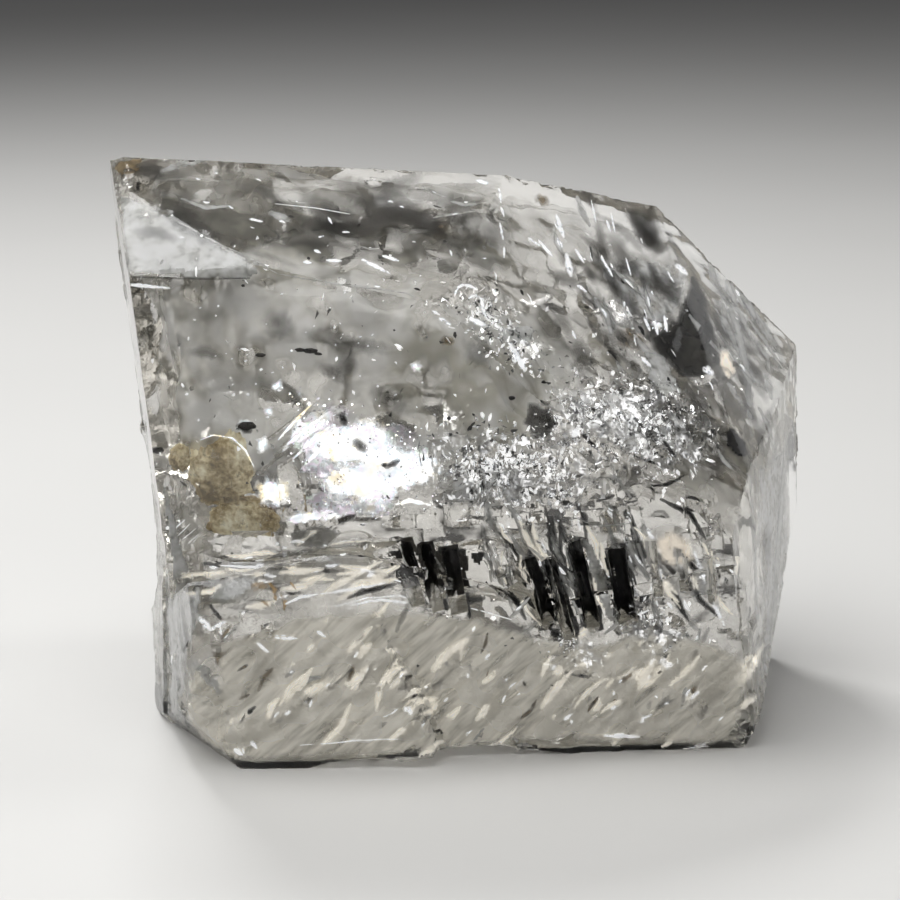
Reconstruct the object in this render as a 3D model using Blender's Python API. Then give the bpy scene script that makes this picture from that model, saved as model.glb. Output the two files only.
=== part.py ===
"""Elestial quartz: one clear, chunky crystal with flat faces, an etched hollow band across
the front, a broken terrace under it and stepped parallel growth behind. Metres, +Z up,
standing on its base at z = 0, with its front towards -Y."""

import math
import random
from collections import namedtuple

import bmesh
import bpy
from mathutils import Matrix, Vector

# Lengths below are in millimetres, and the finished stone is brought to metres at the end.
MM = 0.001
SEED = 11

# Every crystal face is given by the way it looks and its reach from the middle of the stone.
# Azimuth 0 looks to the front (-Y) and 90 to the right (+X); elevation is above the horizon.
MIDDLE = Vector((0, 0, 14))
BLOCK_HALF = 40
Face = namedtuple("Face", "azimuth elevation reach")

MAIN_CRYSTAL = {
    "roof": Face(14.7, 64.2, 11.83),
    "front": Face(-7.2, 6.5, 8.69),
    "pale_triangle": Face(-12.6, 45.7, 13.94),
    "upper_right": Face(49.1, 44.3, 9.85),
    "right_bevel": Face(62.9, 39.0, 11.69),
    "right_side": Face(71.3, 8.5, 15.08),
    "right_flank": Face(74.6, 3.3, 15.54),
    "right_heel": Face(82.1, -10.7, 18.2),
    "right_foot": Face(73.3, -25.2, 20.14),
    "left_side": Face(-80.9, -5.7, 15.75),
    "corner_chip": Face(-55.0, 40.0, 20.35),
    "etched_front": Face(-5.4, -15.1, 7.28),
    "back_roof": Face(177.8, 67.2, 14.66),
    "back_slope": Face(176.0, 35.0, 15.2),
    "back_shoulder": Face(142.0, 37.0, 18.3),
    "back_right": Face(146.9, -4.0, 18.8),
    "back": Face(178.0, 4.0, 12.0),
    "back_left": Face(-135.0, -3.0, 15.6),
    "back_foot": Face(176.0, -48.0, 17.6),
    "root": Face(0.0, -90.0, 17.0),
}

# The thickening low on the left side.
LEFT_BUTTRESS = {
    "left_side": Face(-75.9, -0.2, 15.43),
    "front": Face(-30.0, -6.0, 10.4),
    "back": Face(-150.0, 0.0, 12.5),
    "top": Face(-70.0, 62.0, 7.6),
    "left_foot": Face(-62.0, -32.0, 19.3),
    "inner": Face(90.0, 0.0, -10.0),
    "root": Face(0.0, -90.0, 17.0),
}

# The terrace under the hollow band is three broken lengths side by side, whose crests rise
# and fall as the white line in the front does. Its sides are those of the stone.
TERRACE_SIDES = {
    "inner": Face(180.0, 0.0, 2.0),
    "root": Face(0.0, -90.0, 17.2),
}
TERRACE_LENGTHS = {
    "terrace_left": {
        "front": Face(1.1, -9.3, 10.43),
        "left_side": Face(-75.0, -0.6, 15.3),
        "left_foot": Face(-60.0, -33.0, 19.1),
        "top": Face(-151.0, 67.0, -4.35),
        "end": Face(80.0, 20.0, -4.0),
    },
    "terrace_middle": {
        "front": Face(3.0, -16.5, 10.2),
        "top": Face(142.0, 68.0, -6.1),
        "start": Face(-90.0, 0.0, 5.5),
        "end": Face(85.0, 12.0, 3.8),
    },
    "terrace_right": {
        "front": Face(4.6, -18.4, 10.6),
        "right_flank": Face(74.1, 2.9, 15.41),
        "right_heel": Face(82.1, -10.7, 18.05),
        "right_foot": Face(72.5, -25.8, 20.0),
        "top": Face(-151.0, 66.0, -8.7),
        "start": Face(-88.0, -12.0, -2.5),
    },
}

# Thin layers above the left of the terrace, each set back from the one under it:
# left end, right end, height of its top, and how far its front stands out.
Layer = namedtuple("Layer", "left right top front lean")
LAYERS = [
    Layer(-13.8, -5.2, 9.0, -8.6, -6.0),
    Layer(-13.4, -3.2, 9.9, -8.1, -9.0),
    Layer(-12.8, -6.6, 10.6, -7.5, -4.0),
    Layer(-9.4, -1.6, 11.1, -7.6, -8.0),
    Layer(-12.4, -8.2, 11.8, -6.9, -3.0),
]
LAYER_THICKNESS = 1.5

# Slanted hollows in the etched band, left to right, with ribs left standing between them:
# place and height of the middle, width, height and depth.
Slot = namedtuple("Slot", "x z width height depth lean")
SLOTS = [
    Slot(-2.2, 9.9, 0.75, 3.2, 3.0, -16.0),
    Slot(-1.2, 9.7, 0.65, 3.4, 3.4, -14.0),
    Slot(-0.1, 9.5, 0.95, 3.2, 2.8, -12.0),
    Slot(1.9, 10.6, 0.55, 2.2, 2.0, -18.0),
    Slot(2.9, 10.0, 0.5, 2.6, 2.2, -20.0),
    Slot(4.2, 8.9, 0.8, 3.6, 3.0, -18.0),
    Slot(5.2, 8.4, 0.7, 4.4, 3.4, -15.0),
    Slot(6.4, 9.3, 0.8, 4.6, 3.2, -13.0),
    Slot(8.3, 9.2, 1.1, 4.0, 3.0, -10.0),
    Slot(9.9, 10.3, 0.5, 3.0, 1.8, -8.0),
    Slot(11.2, 10.9, 0.6, 3.6, 1.6, -6.0),
    Slot(12.6, 10.5, 0.5, 4.0, 1.5, -4.0),
]
SLOT_TAPER = 0.45

# Small crystals grown parallel to the stone share these faces, at these shares of their size.
SMALL_HABIT = {
    "roof": Face(14.7, 64.2, 0.9),
    "front": Face(-7.2, 6.5, 1.0),
    "upper_right": Face(49.1, 44.3, 0.9),
    "right_side": Face(76.0, 6.0, 1.0),
    "left_side": Face(-80.9, -5.7, 1.1),
    "back": Face(178.0, 4.0, 1.2),
    "root": Face(0.0, -80.0, 1.3),
}
BACK_HABIT = {
    "roof": Face(14.7, 64.2, 1.1),
    "back_roof": Face(-178.3, 53.1, 0.8),
    "back_roof_right": Face(-140.0, 45.0, 1.0),
    "back_shoulder": Face(132.0, 37.0, 0.95),
    "back": Face(178.0, 4.0, 1.0),
    "back_left": Face(-120.0, -3.0, 1.0),
    "back_right": Face(110.0, -6.0, 1.0),
    "front": Face(-7.2, 6.5, 1.3),
    "root": Face(10.0, -70.0, 1.5),
}

# Fields of small crystals on the front: where a corner and two edges lie across and up, the
# rows and columns, and the least and most size. SINK is the share of a size that is sunk in.
Field = namedtuple("Field", "corner along across rows columns smallest largest")
FIELDS = [
    Field((4.9, 18.9), (6.4, -0.5), (2.4, -3.2), 4, 8, 0.5, 0.85),
    Field((-0.8, 16.6), (7.4, 0.2), (0.2, -3.6), 4, 9, 0.5, 0.85),
    Field((7.2, 14.6), (5.6, -0.6), (0.2, -2.6), 3, 7, 0.4, 0.7),
    Field((-8.6, 15.2), (7.4, 0.4), (0.0, -2.8), 3, 7, 0.4, 0.75),
]
FIELD_JITTER = 0.45
SINK = 0.55
FRONT_FACES = ("roof", "front", "upper_right", "right_bevel", "right_side", "etched_front")

# Larger parallel crystals and hollows of the same form on the back and sides.
Spot = namedtuple("Spot", "x y z size")
BACK_CRYSTALS = [
    Spot(-7.5, 9.8, 17.2, 3.4), Spot(-1.0, 10.6, 14.2, 3.0), Spot(5.4, 9.4, 16.6, 3.2),
    Spot(-10.6, 7.6, 10.6, 3.4), Spot(-4.4, 10.8, 8.2, 2.8), Spot(2.6, 10.8, 8.8, 3.0),
    Spot(8.6, 8.0, 10.2, 3.6), Spot(-2.6, 6.6, 22.4, 2.2), Spot(3.4, 6.2, 22.6, 2.0),
    Spot(11.8, 6.6, 14.6, 2.6), Spot(-11.4, 6.4, 14.2, 2.2), Spot(0.2, 10.2, 18.4, 1.8),
    Spot(-7.6, 10.4, 4.6, 2.2), Spot(6.4, 9.6, 5.0, 2.2),
]
BACK_HOLLOWS = [
    Spot(-4.4, 14.0, 12.0, 2.2), Spot(2.2, 14.2, 12.6, 2.0), Spot(-9.8, 11.9, 14.6, 1.8),
    Spot(6.6, 12.8, 13.6, 1.9), Spot(-0.6, 13.2, 4.8, 1.9), Spot(-3.4, 12.4, 20.4, 1.5),
]

# Curved fracture scars: middle of the ball that each one fits, and the ball's radius.
Scar = namedtuple("Scar", "x y z radius")
SCARS = [
    Scar(-13.0, -16.2, 12.6, 7.4), Scar(-7.6, -15.6, 16.0, 7.2), Scar(0.6, -15.0, 12.4, 6.2),
    Scar(4.9, -13.4, 10.2, 5.2), Scar(8.4, -14.4, 13.0, 6.8), Scar(13.0, -14.4, 13.4, 6.4),
    Scar(0.8, -9.0, -29.1, 30.0), Scar(-4.6, -10.8, -9.0, 9.9), Scar(5.6, -10.0, -9.4, 10.2),
    Scar(-22.6, -7.4, 4.6, 8.6), Scar(-22.2, 2.6, 9.6, 7.4), Scar(-21.6, 6.8, 2.0, 7.6),
    Scar(25.2, 6.6, 3.2, 8.4), Scar(23.4, -3.0, 9.8, 7.8), Scar(-15.0, 17.8, 6.0, 8.0),
    Scar(3.0, 21.6, 1.0, 9.4), Scar(14.6, 16.4, 8.0, 7.6), Scar(-14.4, -12.2, 0.4, 5.2),
    Scar(-10.0, 15.4, 26.8, 6.4),
]
SCAR_DETAIL = 3

QUARTZ_COLOUR = (0.79, 0.78, 0.74, 1.0)
QUARTZ_ROUGHNESS = 0.08
QUARTZ_IOR = 1.544


def outward(face):
    azimuth, elevation = math.radians(face.azimuth), math.radians(face.elevation)
    return Vector((
        math.sin(azimuth) * math.cos(elevation),
        -math.cos(azimuth) * math.cos(elevation),
        math.sin(elevation),
    ))


def cut_crystal(faces, middle=MIDDLE, size=1.0):
    """A block trimmed flat along each of the given crystal faces."""
    bm = bmesh.new()
    bmesh.ops.create_cube(bm, size=2 * BLOCK_HALF, matrix=Matrix.Translation(middle))
    for face in faces.values():
        normal = outward(face)
        cut = bmesh.ops.bisect_plane(
            bm,
            geom=bm.verts[:] + bm.edges[:] + bm.faces[:],
            plane_co=middle + normal * face.reach * size,
            plane_no=normal,
            clear_outer=True,
        )
        rim = [e for e in cut["geom_cut"] if isinstance(e, bmesh.types.BMEdge)]
        bmesh.ops.edgeloop_fill(bm, edges=rim)
    bmesh.ops.recalc_face_normals(bm, faces=bm.faces[:])
    return bm


def layer_shape(layer):
    """A thin slab that dips to the left, its front edge cut slantwise at both ends."""
    bm = bmesh.new()
    length = layer.right - layer.left
    depth = 5.0
    size = Matrix.Diagonal((length, depth, LAYER_THICKNESS, 1))
    place = Matrix.Translation((
        (layer.left + layer.right) / 2, layer.front + depth / 2, layer.top - LAYER_THICKNESS / 2,
    ))
    turn = Matrix.Rotation(math.radians(layer.lean), 4, "Y")
    bmesh.ops.create_cube(bm, size=1, matrix=place @ turn @ size)
    for side in (-1, 1):
        end = Vector((side * length / 2, -depth / 2, 0))
        bmesh.ops.bisect_plane(
            bm,
            geom=bm.verts[:] + bm.edges[:] + bm.faces[:],
            plane_co=place @ turn @ (end - Vector((side * 1.6, 0, 0))),
            plane_no=turn @ Vector((side, -0.8, 0.2)),
            clear_outer=True,
        )
        bmesh.ops.holes_fill(bm, edges=bm.edges[:])
    bmesh.ops.recalc_face_normals(bm, faces=bm.faces[:])
    return bm


def slot_shape(slot):
    """A slanted wedge that narrows towards its inner end."""
    bm = bmesh.new()
    mouth = 3.0
    bmesh.ops.create_cube(bm, size=1)
    inner = [v for v in bm.verts if v.co.y > 0]
    bmesh.ops.scale(bm, vec=(SLOT_TAPER, 1, 0.8), verts=inner)
    front = -6.0 - (slot.z - 8.0) * 0.26
    size = Matrix.Diagonal((slot.width, slot.depth + mouth, slot.height, 1))
    turn = Matrix.Rotation(math.radians(slot.lean), 4, "Y")
    tilt = Matrix.Rotation(math.radians(-10), 4, "X")
    place = Matrix.Translation((slot.x, front + (slot.depth - mouth) / 2, slot.z))
    bm.transform(place @ turn @ tilt @ size)
    bmesh.ops.recalc_face_normals(bm, faces=bm.faces[:])
    return bm


def ball_shape(scar):
    bm = bmesh.new()
    bmesh.ops.create_icosphere(
        bm,
        subdivisions=SCAR_DETAIL,
        radius=scar.radius,
        matrix=Matrix.Translation((scar.x, scar.y, scar.z)),
    )
    return bm


def ground_shape():
    bm = bmesh.new()
    bmesh.ops.create_cube(
        bm, size=2 * BLOCK_HALF, matrix=Matrix.Translation((0, 0, -BLOCK_HALF)),
    )
    return bm


def on_front(x, z):
    """The point of the main crystal's front at a place across and up, and the way it looks."""
    found = []
    for name in FRONT_FACES:
        face = MAIN_CRYSTAL[name]
        normal = outward(face)
        y = (face.reach - normal.x * (x - MIDDLE.x) - normal.z * (z - MIDDLE.z)) / normal.y
        found.append((y, normal))
    y, normal = max(found, key=lambda pair: pair[0])
    return Vector((x, y, z)), normal


def field_crystals(field, dice):
    """The small parallel crystals of one field, in uneven rows."""
    for row in range(field.rows):
        for column in range(field.columns):
            u = (column + 0.5 + dice.uniform(-FIELD_JITTER, FIELD_JITTER)) / field.columns
            v = (row + 0.5 + dice.uniform(-FIELD_JITTER, FIELD_JITTER)) / field.rows
            x = field.corner[0] + field.along[0] * u + field.across[0] * v
            z = field.corner[1] + field.along[1] * u + field.across[1] * v
            size = dice.uniform(field.smallest, field.largest)
            point, normal = on_front(x, z)
            yield cut_crystal(SMALL_HABIT, point - normal * SINK * size, size)


def drop_crumbs(mesh):
    """Keeps the largest body of a mesh and clears the specks that cutting left beside it."""
    bm = bmesh.new()
    bm.from_mesh(mesh)
    bodies = []
    waiting = set(bm.verts)
    while waiting:
        body = [waiting.pop()]
        for vertex in body:
            for edge in vertex.link_edges:
                other = edge.other_vert(vertex)
                if other in waiting:
                    waiting.remove(other)
                    body.append(other)
        bodies.append(body)
    bodies.sort(key=len)
    for body in bodies[:-1]:
        bmesh.ops.delete(bm, geom=body, context="VERTS")
    bm.to_mesh(mesh)
    bm.free()


def object_of(name, bm):
    mesh = bpy.data.meshes.new(name)
    bm.to_mesh(mesh)
    bm.free()
    made = bpy.data.objects.new(name, mesh)
    bpy.context.scene.collection.objects.link(made)
    return made


def combine(whole, bm, operation):
    """Boolean of an object with another shape, applied."""
    other = object_of("cutter", bm)
    modifier = whole.modifiers.new(operation.title(), "BOOLEAN")
    modifier.operation = operation
    modifier.solver = "EXACT"
    modifier.object = other
    bpy.context.view_layer.update()
    graph = bpy.context.evaluated_depsgraph_get()
    mesh = bpy.data.meshes.new_from_object(whole.evaluated_get(graph))
    whole.modifiers.clear()
    whole.data = mesh
    bpy.data.objects.remove(other)


def clear_quartz():
    material = bpy.data.materials.new("clear_quartz")
    material.use_nodes = True
    shader = material.node_tree.nodes["Principled BSDF"]
    shader.inputs["Base Color"].default_value = QUARTZ_COLOUR
    shader.inputs["Metallic"].default_value = 0.0
    shader.inputs["Roughness"].default_value = QUARTZ_ROUGHNESS
    shader.inputs["IOR"].default_value = QUARTZ_IOR
    shader.inputs["Transmission Weight"].default_value = 1.0
    return material


def main():
    for old in list(bpy.data.objects):
        bpy.data.objects.remove(old)
    dice = random.Random(SEED)
    stone = object_of("quartz_crystal", cut_crystal(MAIN_CRYSTAL))
    combine(stone, cut_crystal(LEFT_BUTTRESS), "UNION")
    for ends in TERRACE_LENGTHS.values():
        combine(stone, cut_crystal({**TERRACE_SIDES, **ends}), "UNION")
    for layer in LAYERS:
        combine(stone, layer_shape(layer), "UNION")
    combine(stone, ground_shape(), "DIFFERENCE")
    for spot in BACK_CRYSTALS:
        combine(stone, cut_crystal(BACK_HABIT, Vector(spot[:3]), spot.size), "UNION")
    for scar in SCARS:
        combine(stone, ball_shape(scar), "DIFFERENCE")
    for spot in BACK_HOLLOWS:
        combine(stone, cut_crystal(BACK_HABIT, Vector(spot[:3]), spot.size), "DIFFERENCE")
    for slot in SLOTS:
        combine(stone, slot_shape(slot), "DIFFERENCE")
    for field in FIELDS:
        for small in field_crystals(field, dice):
            combine(stone, small, "UNION")
    drop_crumbs(stone.data)
    stone.data.transform(Matrix.Scale(MM, 4))
    stone.data.materials.clear()
    stone.data.materials.append(clear_quartz())


main()
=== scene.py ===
"""Elestial quartz: the finished surface of the clear stone, what is sealed inside it, and a
small studio. The stone's fine surface is grown on the solid that the frame holds."""

import math
import random
from collections import namedtuple

import bmesh
import bpy
import numpy as np
from bpy.props import FloatProperty, FloatVectorProperty, IntProperty, PointerProperty
from mathutils import Euler, Matrix, Vector, noise
from mathutils.bvhtree import BVHTree


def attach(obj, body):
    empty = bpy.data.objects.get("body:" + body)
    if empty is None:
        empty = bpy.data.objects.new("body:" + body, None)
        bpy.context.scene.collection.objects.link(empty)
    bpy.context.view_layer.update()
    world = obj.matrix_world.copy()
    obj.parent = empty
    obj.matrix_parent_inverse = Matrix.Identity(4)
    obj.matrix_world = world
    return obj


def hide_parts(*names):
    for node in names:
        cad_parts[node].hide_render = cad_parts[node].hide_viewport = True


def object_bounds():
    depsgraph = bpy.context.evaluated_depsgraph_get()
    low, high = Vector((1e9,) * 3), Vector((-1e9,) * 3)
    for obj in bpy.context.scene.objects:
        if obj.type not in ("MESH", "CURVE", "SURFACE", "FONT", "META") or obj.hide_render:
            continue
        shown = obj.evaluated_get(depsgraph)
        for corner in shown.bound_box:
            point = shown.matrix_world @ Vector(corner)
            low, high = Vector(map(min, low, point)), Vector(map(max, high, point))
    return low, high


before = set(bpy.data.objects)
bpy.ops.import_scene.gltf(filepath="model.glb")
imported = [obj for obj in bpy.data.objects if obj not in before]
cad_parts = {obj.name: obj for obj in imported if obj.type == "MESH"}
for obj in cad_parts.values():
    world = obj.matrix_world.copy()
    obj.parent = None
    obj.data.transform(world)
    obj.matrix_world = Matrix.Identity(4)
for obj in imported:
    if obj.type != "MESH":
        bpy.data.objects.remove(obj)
CAD_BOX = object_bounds()

bl_info = {
    "name": "Elestial Quartz",
    "version": (1, 0, 0),
    "blender": (4, 5, 0),
    "location": "View3D > Sidebar > Quartz",
    "description": "Makes a clear elestial quartz crystal with its veils, clay and a studio",
    "category": "Object",
}

# Lengths are in millimetres until a piece is finished.
MM = 0.001
NODE = "quartz_crystal"
BODY = "root"
QUARTZ_IOR = 1.544

# The camera, in millimetres and degrees. Places on the stone's front are given as pixels of
# its square frame, and found by following the line of sight.
FRAME_SIDE = 900
LENS = 115
SENSOR = 36
CAMERA_TILT = math.radians(14)
CAMERA_TARGET = Vector((-0.35, 0.0, 14.5))
CAMERA_DISTANCE = 150
CAMERA_BACK = Vector((0, -math.cos(CAMERA_TILT), math.sin(CAMERA_TILT)))
CAMERA_PLACE = CAMERA_TARGET + CAMERA_BACK * CAMERA_DISTANCE
CAMERA_UP = Vector((0, math.sin(CAMERA_TILT), math.cos(CAMERA_TILT)))
HALF_VIEW = SENSOR / 2 / LENS

# A chain is a run of pixels with a reach to both sides, and it softly marks a zone.
Chain = namedtuple("Chain", "reach places")
GLITTER_ZONES = [
    Chain(44, ((575, 405), (625, 412), (675, 440))),
    Chain(40, ((455, 462), (520, 470), (580, 478))),
    Chain(20, ((470, 300), (500, 330), (530, 358))),
    Chain(26, ((640, 620), (670, 655))),
    Chain(16, ((555, 640), (600, 668))),
]
FROST_ZONES = [
    Chain(62, ((235, 690), (480, 690), (720, 690))),
    Chain(30, ((215, 600), (330, 590), (420, 600))),
    Chain(26, ((668, 545), (700, 600))),
]
LAYERED_ZONE = Chain(48, ((200, 560), (300, 585), (410, 590)))
BRUSH_ZONE = Chain(70, ((230, 680), (480, 690), (740, 680)))
STEEP_LINES_ZONE = Chain(70, ((600, 200), (620, 300), (670, 360)))
LEVEL_LINES_ZONE = Chain(90, ((230, 200), (340, 240), (460, 230)))
SEAM_ZONES = [
    Chain(22, ((350, 545), (395, 650), (450, 765))),
    Chain(20, ((520, 600), (530, 750))),
]
CREST = Chain(9, ((205, 625), (262, 600), (330, 592), (420, 598), (500, 615), (560, 645)))

# Where the stone is clouded inside, where painted shade darkens that cloud, and where one
# looks into dark, clear hollows.
HAZE_ZONES = [
    Chain(95, ((200, 360), (330, 380), (470, 400))),
    Chain(60, ((640, 300), (740, 330))),
    Chain(60, ((250, 690), (480, 690), (700, 690))),
]
PAINTED_SHADE_ZONES = [
    (1.3, Chain(62, ((190, 190), (330, 220), (460, 235)))),
    (0.4, Chain(40, ((430, 370), (500, 405)))),
    (1.0, Chain(90, ((600, 220), (660, 330), (690, 420)))),
    (0.5, Chain(50, ((740, 300), (760, 400)))),
]
CLEAR_ZONES = [
    Chain(30, ((415, 560), (450, 595))),
    Chain(22, ((550, 580), (555, 640))),
    Chain(26, ((580, 560), (615, 600))),
    Chain(30, ((690, 300), (700, 350))),
    Chain(14, ((736, 430), (736, 458))),
]


# Shader maths

class Wire:
    """A shader socket that takes part in sums."""

    def __init__(self, tree, socket):
        self.tree = tree
        self.socket = socket

    def maths(self, operation, *terms):
        node = self.tree.nodes.new("ShaderNodeMath")
        node.operation = operation
        for slot, term in zip(node.inputs, terms):
            if isinstance(term, Wire):
                self.tree.links.new(term.socket, slot)
            else:
                slot.default_value = term
        return Wire(self.tree, node.outputs[0])

    def __add__(self, other):
        return self.maths("ADD", self, other)

    __radd__ = __add__

    def __sub__(self, other):
        return self.maths("SUBTRACT", self, other)

    def __rsub__(self, other):
        return self.maths("SUBTRACT", other, self)

    def __mul__(self, other):
        return self.maths("MULTIPLY", self, other)

    __rmul__ = __mul__

    def __truediv__(self, other):
        return self.maths("DIVIDE", self, other)

    def __pow__(self, other):
        return self.maths("POWER", self, other)

    def least(self, other):
        return self.maths("MINIMUM", self, other)

    def most(self, other):
        return self.maths("MAXIMUM", self, other)


class Finish:
    """A material that is built up node by node around one Principled shader."""

    def __init__(self, name, **plain):
        self.material = bpy.data.materials.new(name)
        self.material.use_nodes = True
        self.material.cycles.emission_sampling = "NONE"
        self.material.use_transparent_shadow = False
        self.tree = self.material.node_tree
        self.shader = self.tree.nodes["Principled BSDF"]
        self.output = self.tree.nodes["Material Output"]
        for socket, value in plain.items():
            self.shader.inputs[socket.replace("_", " ")].default_value = value

    def node(self, kind, settings=None, inputs=None, out=0):
        """A node of the given type, its settings first and then its sockets' values or links."""
        made = self.tree.nodes.new(kind)
        for name, value in (settings or {}).items():
            if name == "stops":
                ramp = made.color_ramp.elements
                while len(ramp) < len(value):
                    ramp.new(0.5)
                for element, (position, colour) in zip(ramp, value):
                    element.position = position
                    element.color = (*colour, 1)
            else:
                setattr(made, name, value)
        for name, value in (inputs or {}).items():
            if isinstance(value, Wire):
                self.tree.links.new(value.socket, made.inputs[name])
            else:
                made.inputs[name].default_value = value
        return Wire(self.tree, made.outputs[out])

    def feed(self, socket, wire):
        self.tree.links.new(wire.socket, self.shader.inputs[socket])

    def noise(self, scale, detail=4.0, roughness=0.55, turn=(0, 0, 0), stretch=(1, 1, 1)):
        """Noise whose scale is in waves per millimetre, turned and stretched in the object."""
        here = self.node("ShaderNodeTexCoord", out=3)
        place = self.node("ShaderNodeMapping", {"vector_type": "TEXTURE"}, {
            "Vector": here, "Rotation": [math.radians(t) for t in turn],
            "Scale": [MM / s for s in stretch]})
        return self.node("ShaderNodeTexNoise", inputs={
            "Vector": place, "Scale": scale, "Detail": detail, "Roughness": roughness})

    def ramp(self, value, *stops):
        return self.node("ShaderNodeValToRGB", {"stops": stops}, {"Fac": value})

    def between(self, value, low, high, start=0.0, end=1.0):
        return self.node("ShaderNodeMapRange", {"clamp": True}, {
            "Value": value, "From Min": low, "From Max": high, "To Min": start, "To Max": end})

    def mottle(self, scale, dark, light):
        """Feeds the base colour with two tones that drift through the piece."""
        tone = self.ramp(self.noise(scale, 2, 0.6), (0.4, dark), (0.6, light))
        self.feed("Base Color", tone)
        return self.material

    def attribute(self, name):
        return self.node("ShaderNodeAttribute", {"attribute_name": name}, out=2)

    def bump(self, height, strength, distance):
        """Bump whose distance is in millimetres."""
        self.feed("Normal", self.node("ShaderNodeBump", inputs={
            "Height": height, "Strength": strength, "Distance": distance * MM}))


# The stone as the frame holds it, and where a line of sight meets it

def solid_in_mm():
    """A merged copy of the frame's solid, in millimetres."""
    bm = bmesh.new()
    bm.from_mesh(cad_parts[NODE].data)
    bm.transform(Matrix.Scale(1 / MM, 4))
    bmesh.ops.remove_doubles(bm, verts=bm.verts[:], dist=0.0005)
    return bm


def stone_tree():
    bm = solid_in_mm()
    tree = BVHTree.FromBMesh(bm)
    bm.free()
    return tree


STONE = stone_tree()
Sight = namedtuple("Sight", "place normal inward")


def line_of_sight(px, py):
    """The direction in which the camera sees a pixel."""
    across = (px / FRAME_SIDE - 0.5) * 2 * HALF_VIEW
    up = (0.5 - py / FRAME_SIDE) * 2 * HALF_VIEW
    return (Vector((across, 0, 0)) + CAMERA_UP * up - CAMERA_BACK).normalized()


def sight(px, py):
    """Where the line of sight through a pixel meets the stone, the normal there, and the
    direction in which the line goes on inside, bent by the quartz. None where it misses."""
    line = line_of_sight(px, py)
    place, normal, _, _ = STONE.ray_cast(CAMERA_PLACE, line)
    return None if place is None else Sight(place, normal, bent(line, normal))


def bent(line, normal):
    """The direction of a line after it enters the quartz through a face."""
    cosine = -line.dot(normal)
    ratio = 1 / QUARTZ_IOR
    rest = math.sqrt(1 - ratio * ratio * (1 - cosine * cosine))
    return (line * ratio + normal * (ratio * cosine - rest)).normalized()


def inside(px, py, depth):
    """The point that is seen at a pixel when it lies at this depth along the bent line."""
    seen = sight(px, py)
    if seen is None:
        raise ValueError(f"the line of sight through {px}, {py} misses the stone")
    return seen.place + seen.inward * depth


def sealed(place, margin):
    """True where a point lies in the stone, at least the margin under its surface."""
    near, normal, _, gap = STONE.find_nearest(place)
    return gap > margin and (place - near).dot(normal) < 0


def pixels_of(places):
    """The pixels at which points, an array in millimetres, are seen from outside."""
    offset = places - np.array(CAMERA_PLACE)
    away = -offset @ np.array(CAMERA_BACK)
    px = offset[:, 0] / away / HALF_VIEW
    py = offset @ np.array(CAMERA_UP) / away / HALF_VIEW
    return np.stack([(px + 1) / 2, (1 - py) / 2], axis=1) * FRAME_SIDE


def soft_step(values, low, high):
    t = np.clip((values - low) / (high - low), 0, 1)
    return t * t * (3 - 2 * t)


def in_zone(pixels, chain):
    """How far each pixel belongs to a chain, from 0 to 1."""
    nearest = np.full(len(pixels), 1e9)
    for start, end in zip(chain.places, chain.places[1:]):
        a = np.array(start, float)
        run = np.array(end, float) - a
        along = np.clip((pixels - a) @ run / (run @ run), 0, 1)
        gap = np.linalg.norm(pixels - a - along[:, None] * run, axis=1)
        nearest = np.minimum(nearest, gap)
    return 1 - soft_step(nearest, chain.reach * 0.7, chain.reach * 1.2)


# Mesh helpers

def piece_of(name, bm, finish, smooth=None):
    """A finished piece from a bmesh in millimetres."""
    bm.transform(Matrix.Scale(MM, 4))
    mesh = bpy.data.meshes.new(name)
    bm.to_mesh(mesh)
    bm.free()
    mesh.materials.append(finish)
    if smooth is not None:
        mesh.shade_smooth()
        mesh.set_sharp_from_angle(angle=math.radians(smooth))
    made = bpy.data.objects.new(name, mesh)
    bpy.context.scene.collection.objects.link(made)
    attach(made, BODY)
    return made


def remeshed(bm, cell):
    """The same closed shape in even faces about one cell wide, with its edges kept sharp."""
    mesh = bpy.data.meshes.new("rough")
    bm.to_mesh(mesh)
    bm.free()
    rough = bpy.data.objects.new("rough", mesh)
    bpy.context.scene.collection.objects.link(rough)
    grid = rough.modifiers.new("grid", "REMESH")
    grid.mode = "SHARP"
    grid.octree_depth = 8
    grid.scale = max(rough.dimensions) / (cell * 2 ** grid.octree_depth)
    grid.use_remove_disconnected = True
    depsgraph = bpy.context.evaluated_depsgraph_get()
    even = bpy.data.meshes.new_from_object(rough.evaluated_get(depsgraph))
    bpy.data.objects.remove(rough)
    made = bmesh.new()
    made.from_mesh(even)
    bpy.data.meshes.remove(even)
    mend(made)
    return made


def mend(bm):
    """Opens the places where more than two faces share an edge, and closes them again."""
    for _ in range(4):
        bad = {v for e in bm.edges if not e.is_manifold for v in e.verts}
        bad.update(v for v in bm.verts if not v.is_manifold)
        if not bad:
            return
        bmesh.ops.delete(bm, geom=list(bad), context="VERTS")
        rim = [e for e in bm.edges if e.is_boundary]
        patch = bmesh.ops.holes_fill(bm, edges=rim, sides=0)["faces"]
        bmesh.ops.triangulate(bm, faces=patch)
    raise ValueError("the fine surface could not be closed")


# The surface

def crystallites(place, size):
    """The height, as a share, of little crystal faces that each tilt their own way."""
    point = noise.voronoi(place / size)[1][0]
    tilt = noise.cell_vector(point * 7.3 + Vector((3.1, 0.7, 5.9)))
    offset = place / size - point
    return max(-1.0, min(1.0, 2.2 * tilt.dot(offset) + 0.5 * tilt.x))


def stepped(value, steps):
    """A smooth value made into terraces with short slopes between them."""
    level = math.floor(value * steps)
    rest = value * steps - level
    return (level + min(1.0, rest * 4)) / steps


def lines(place, along, across, rate, seed):
    """Uneven parallel lines that run along one direction and repeat across another."""
    return noise.noise(Vector((place.dot(along) * 0.16, place.dot(across) * rate, seed)))


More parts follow.
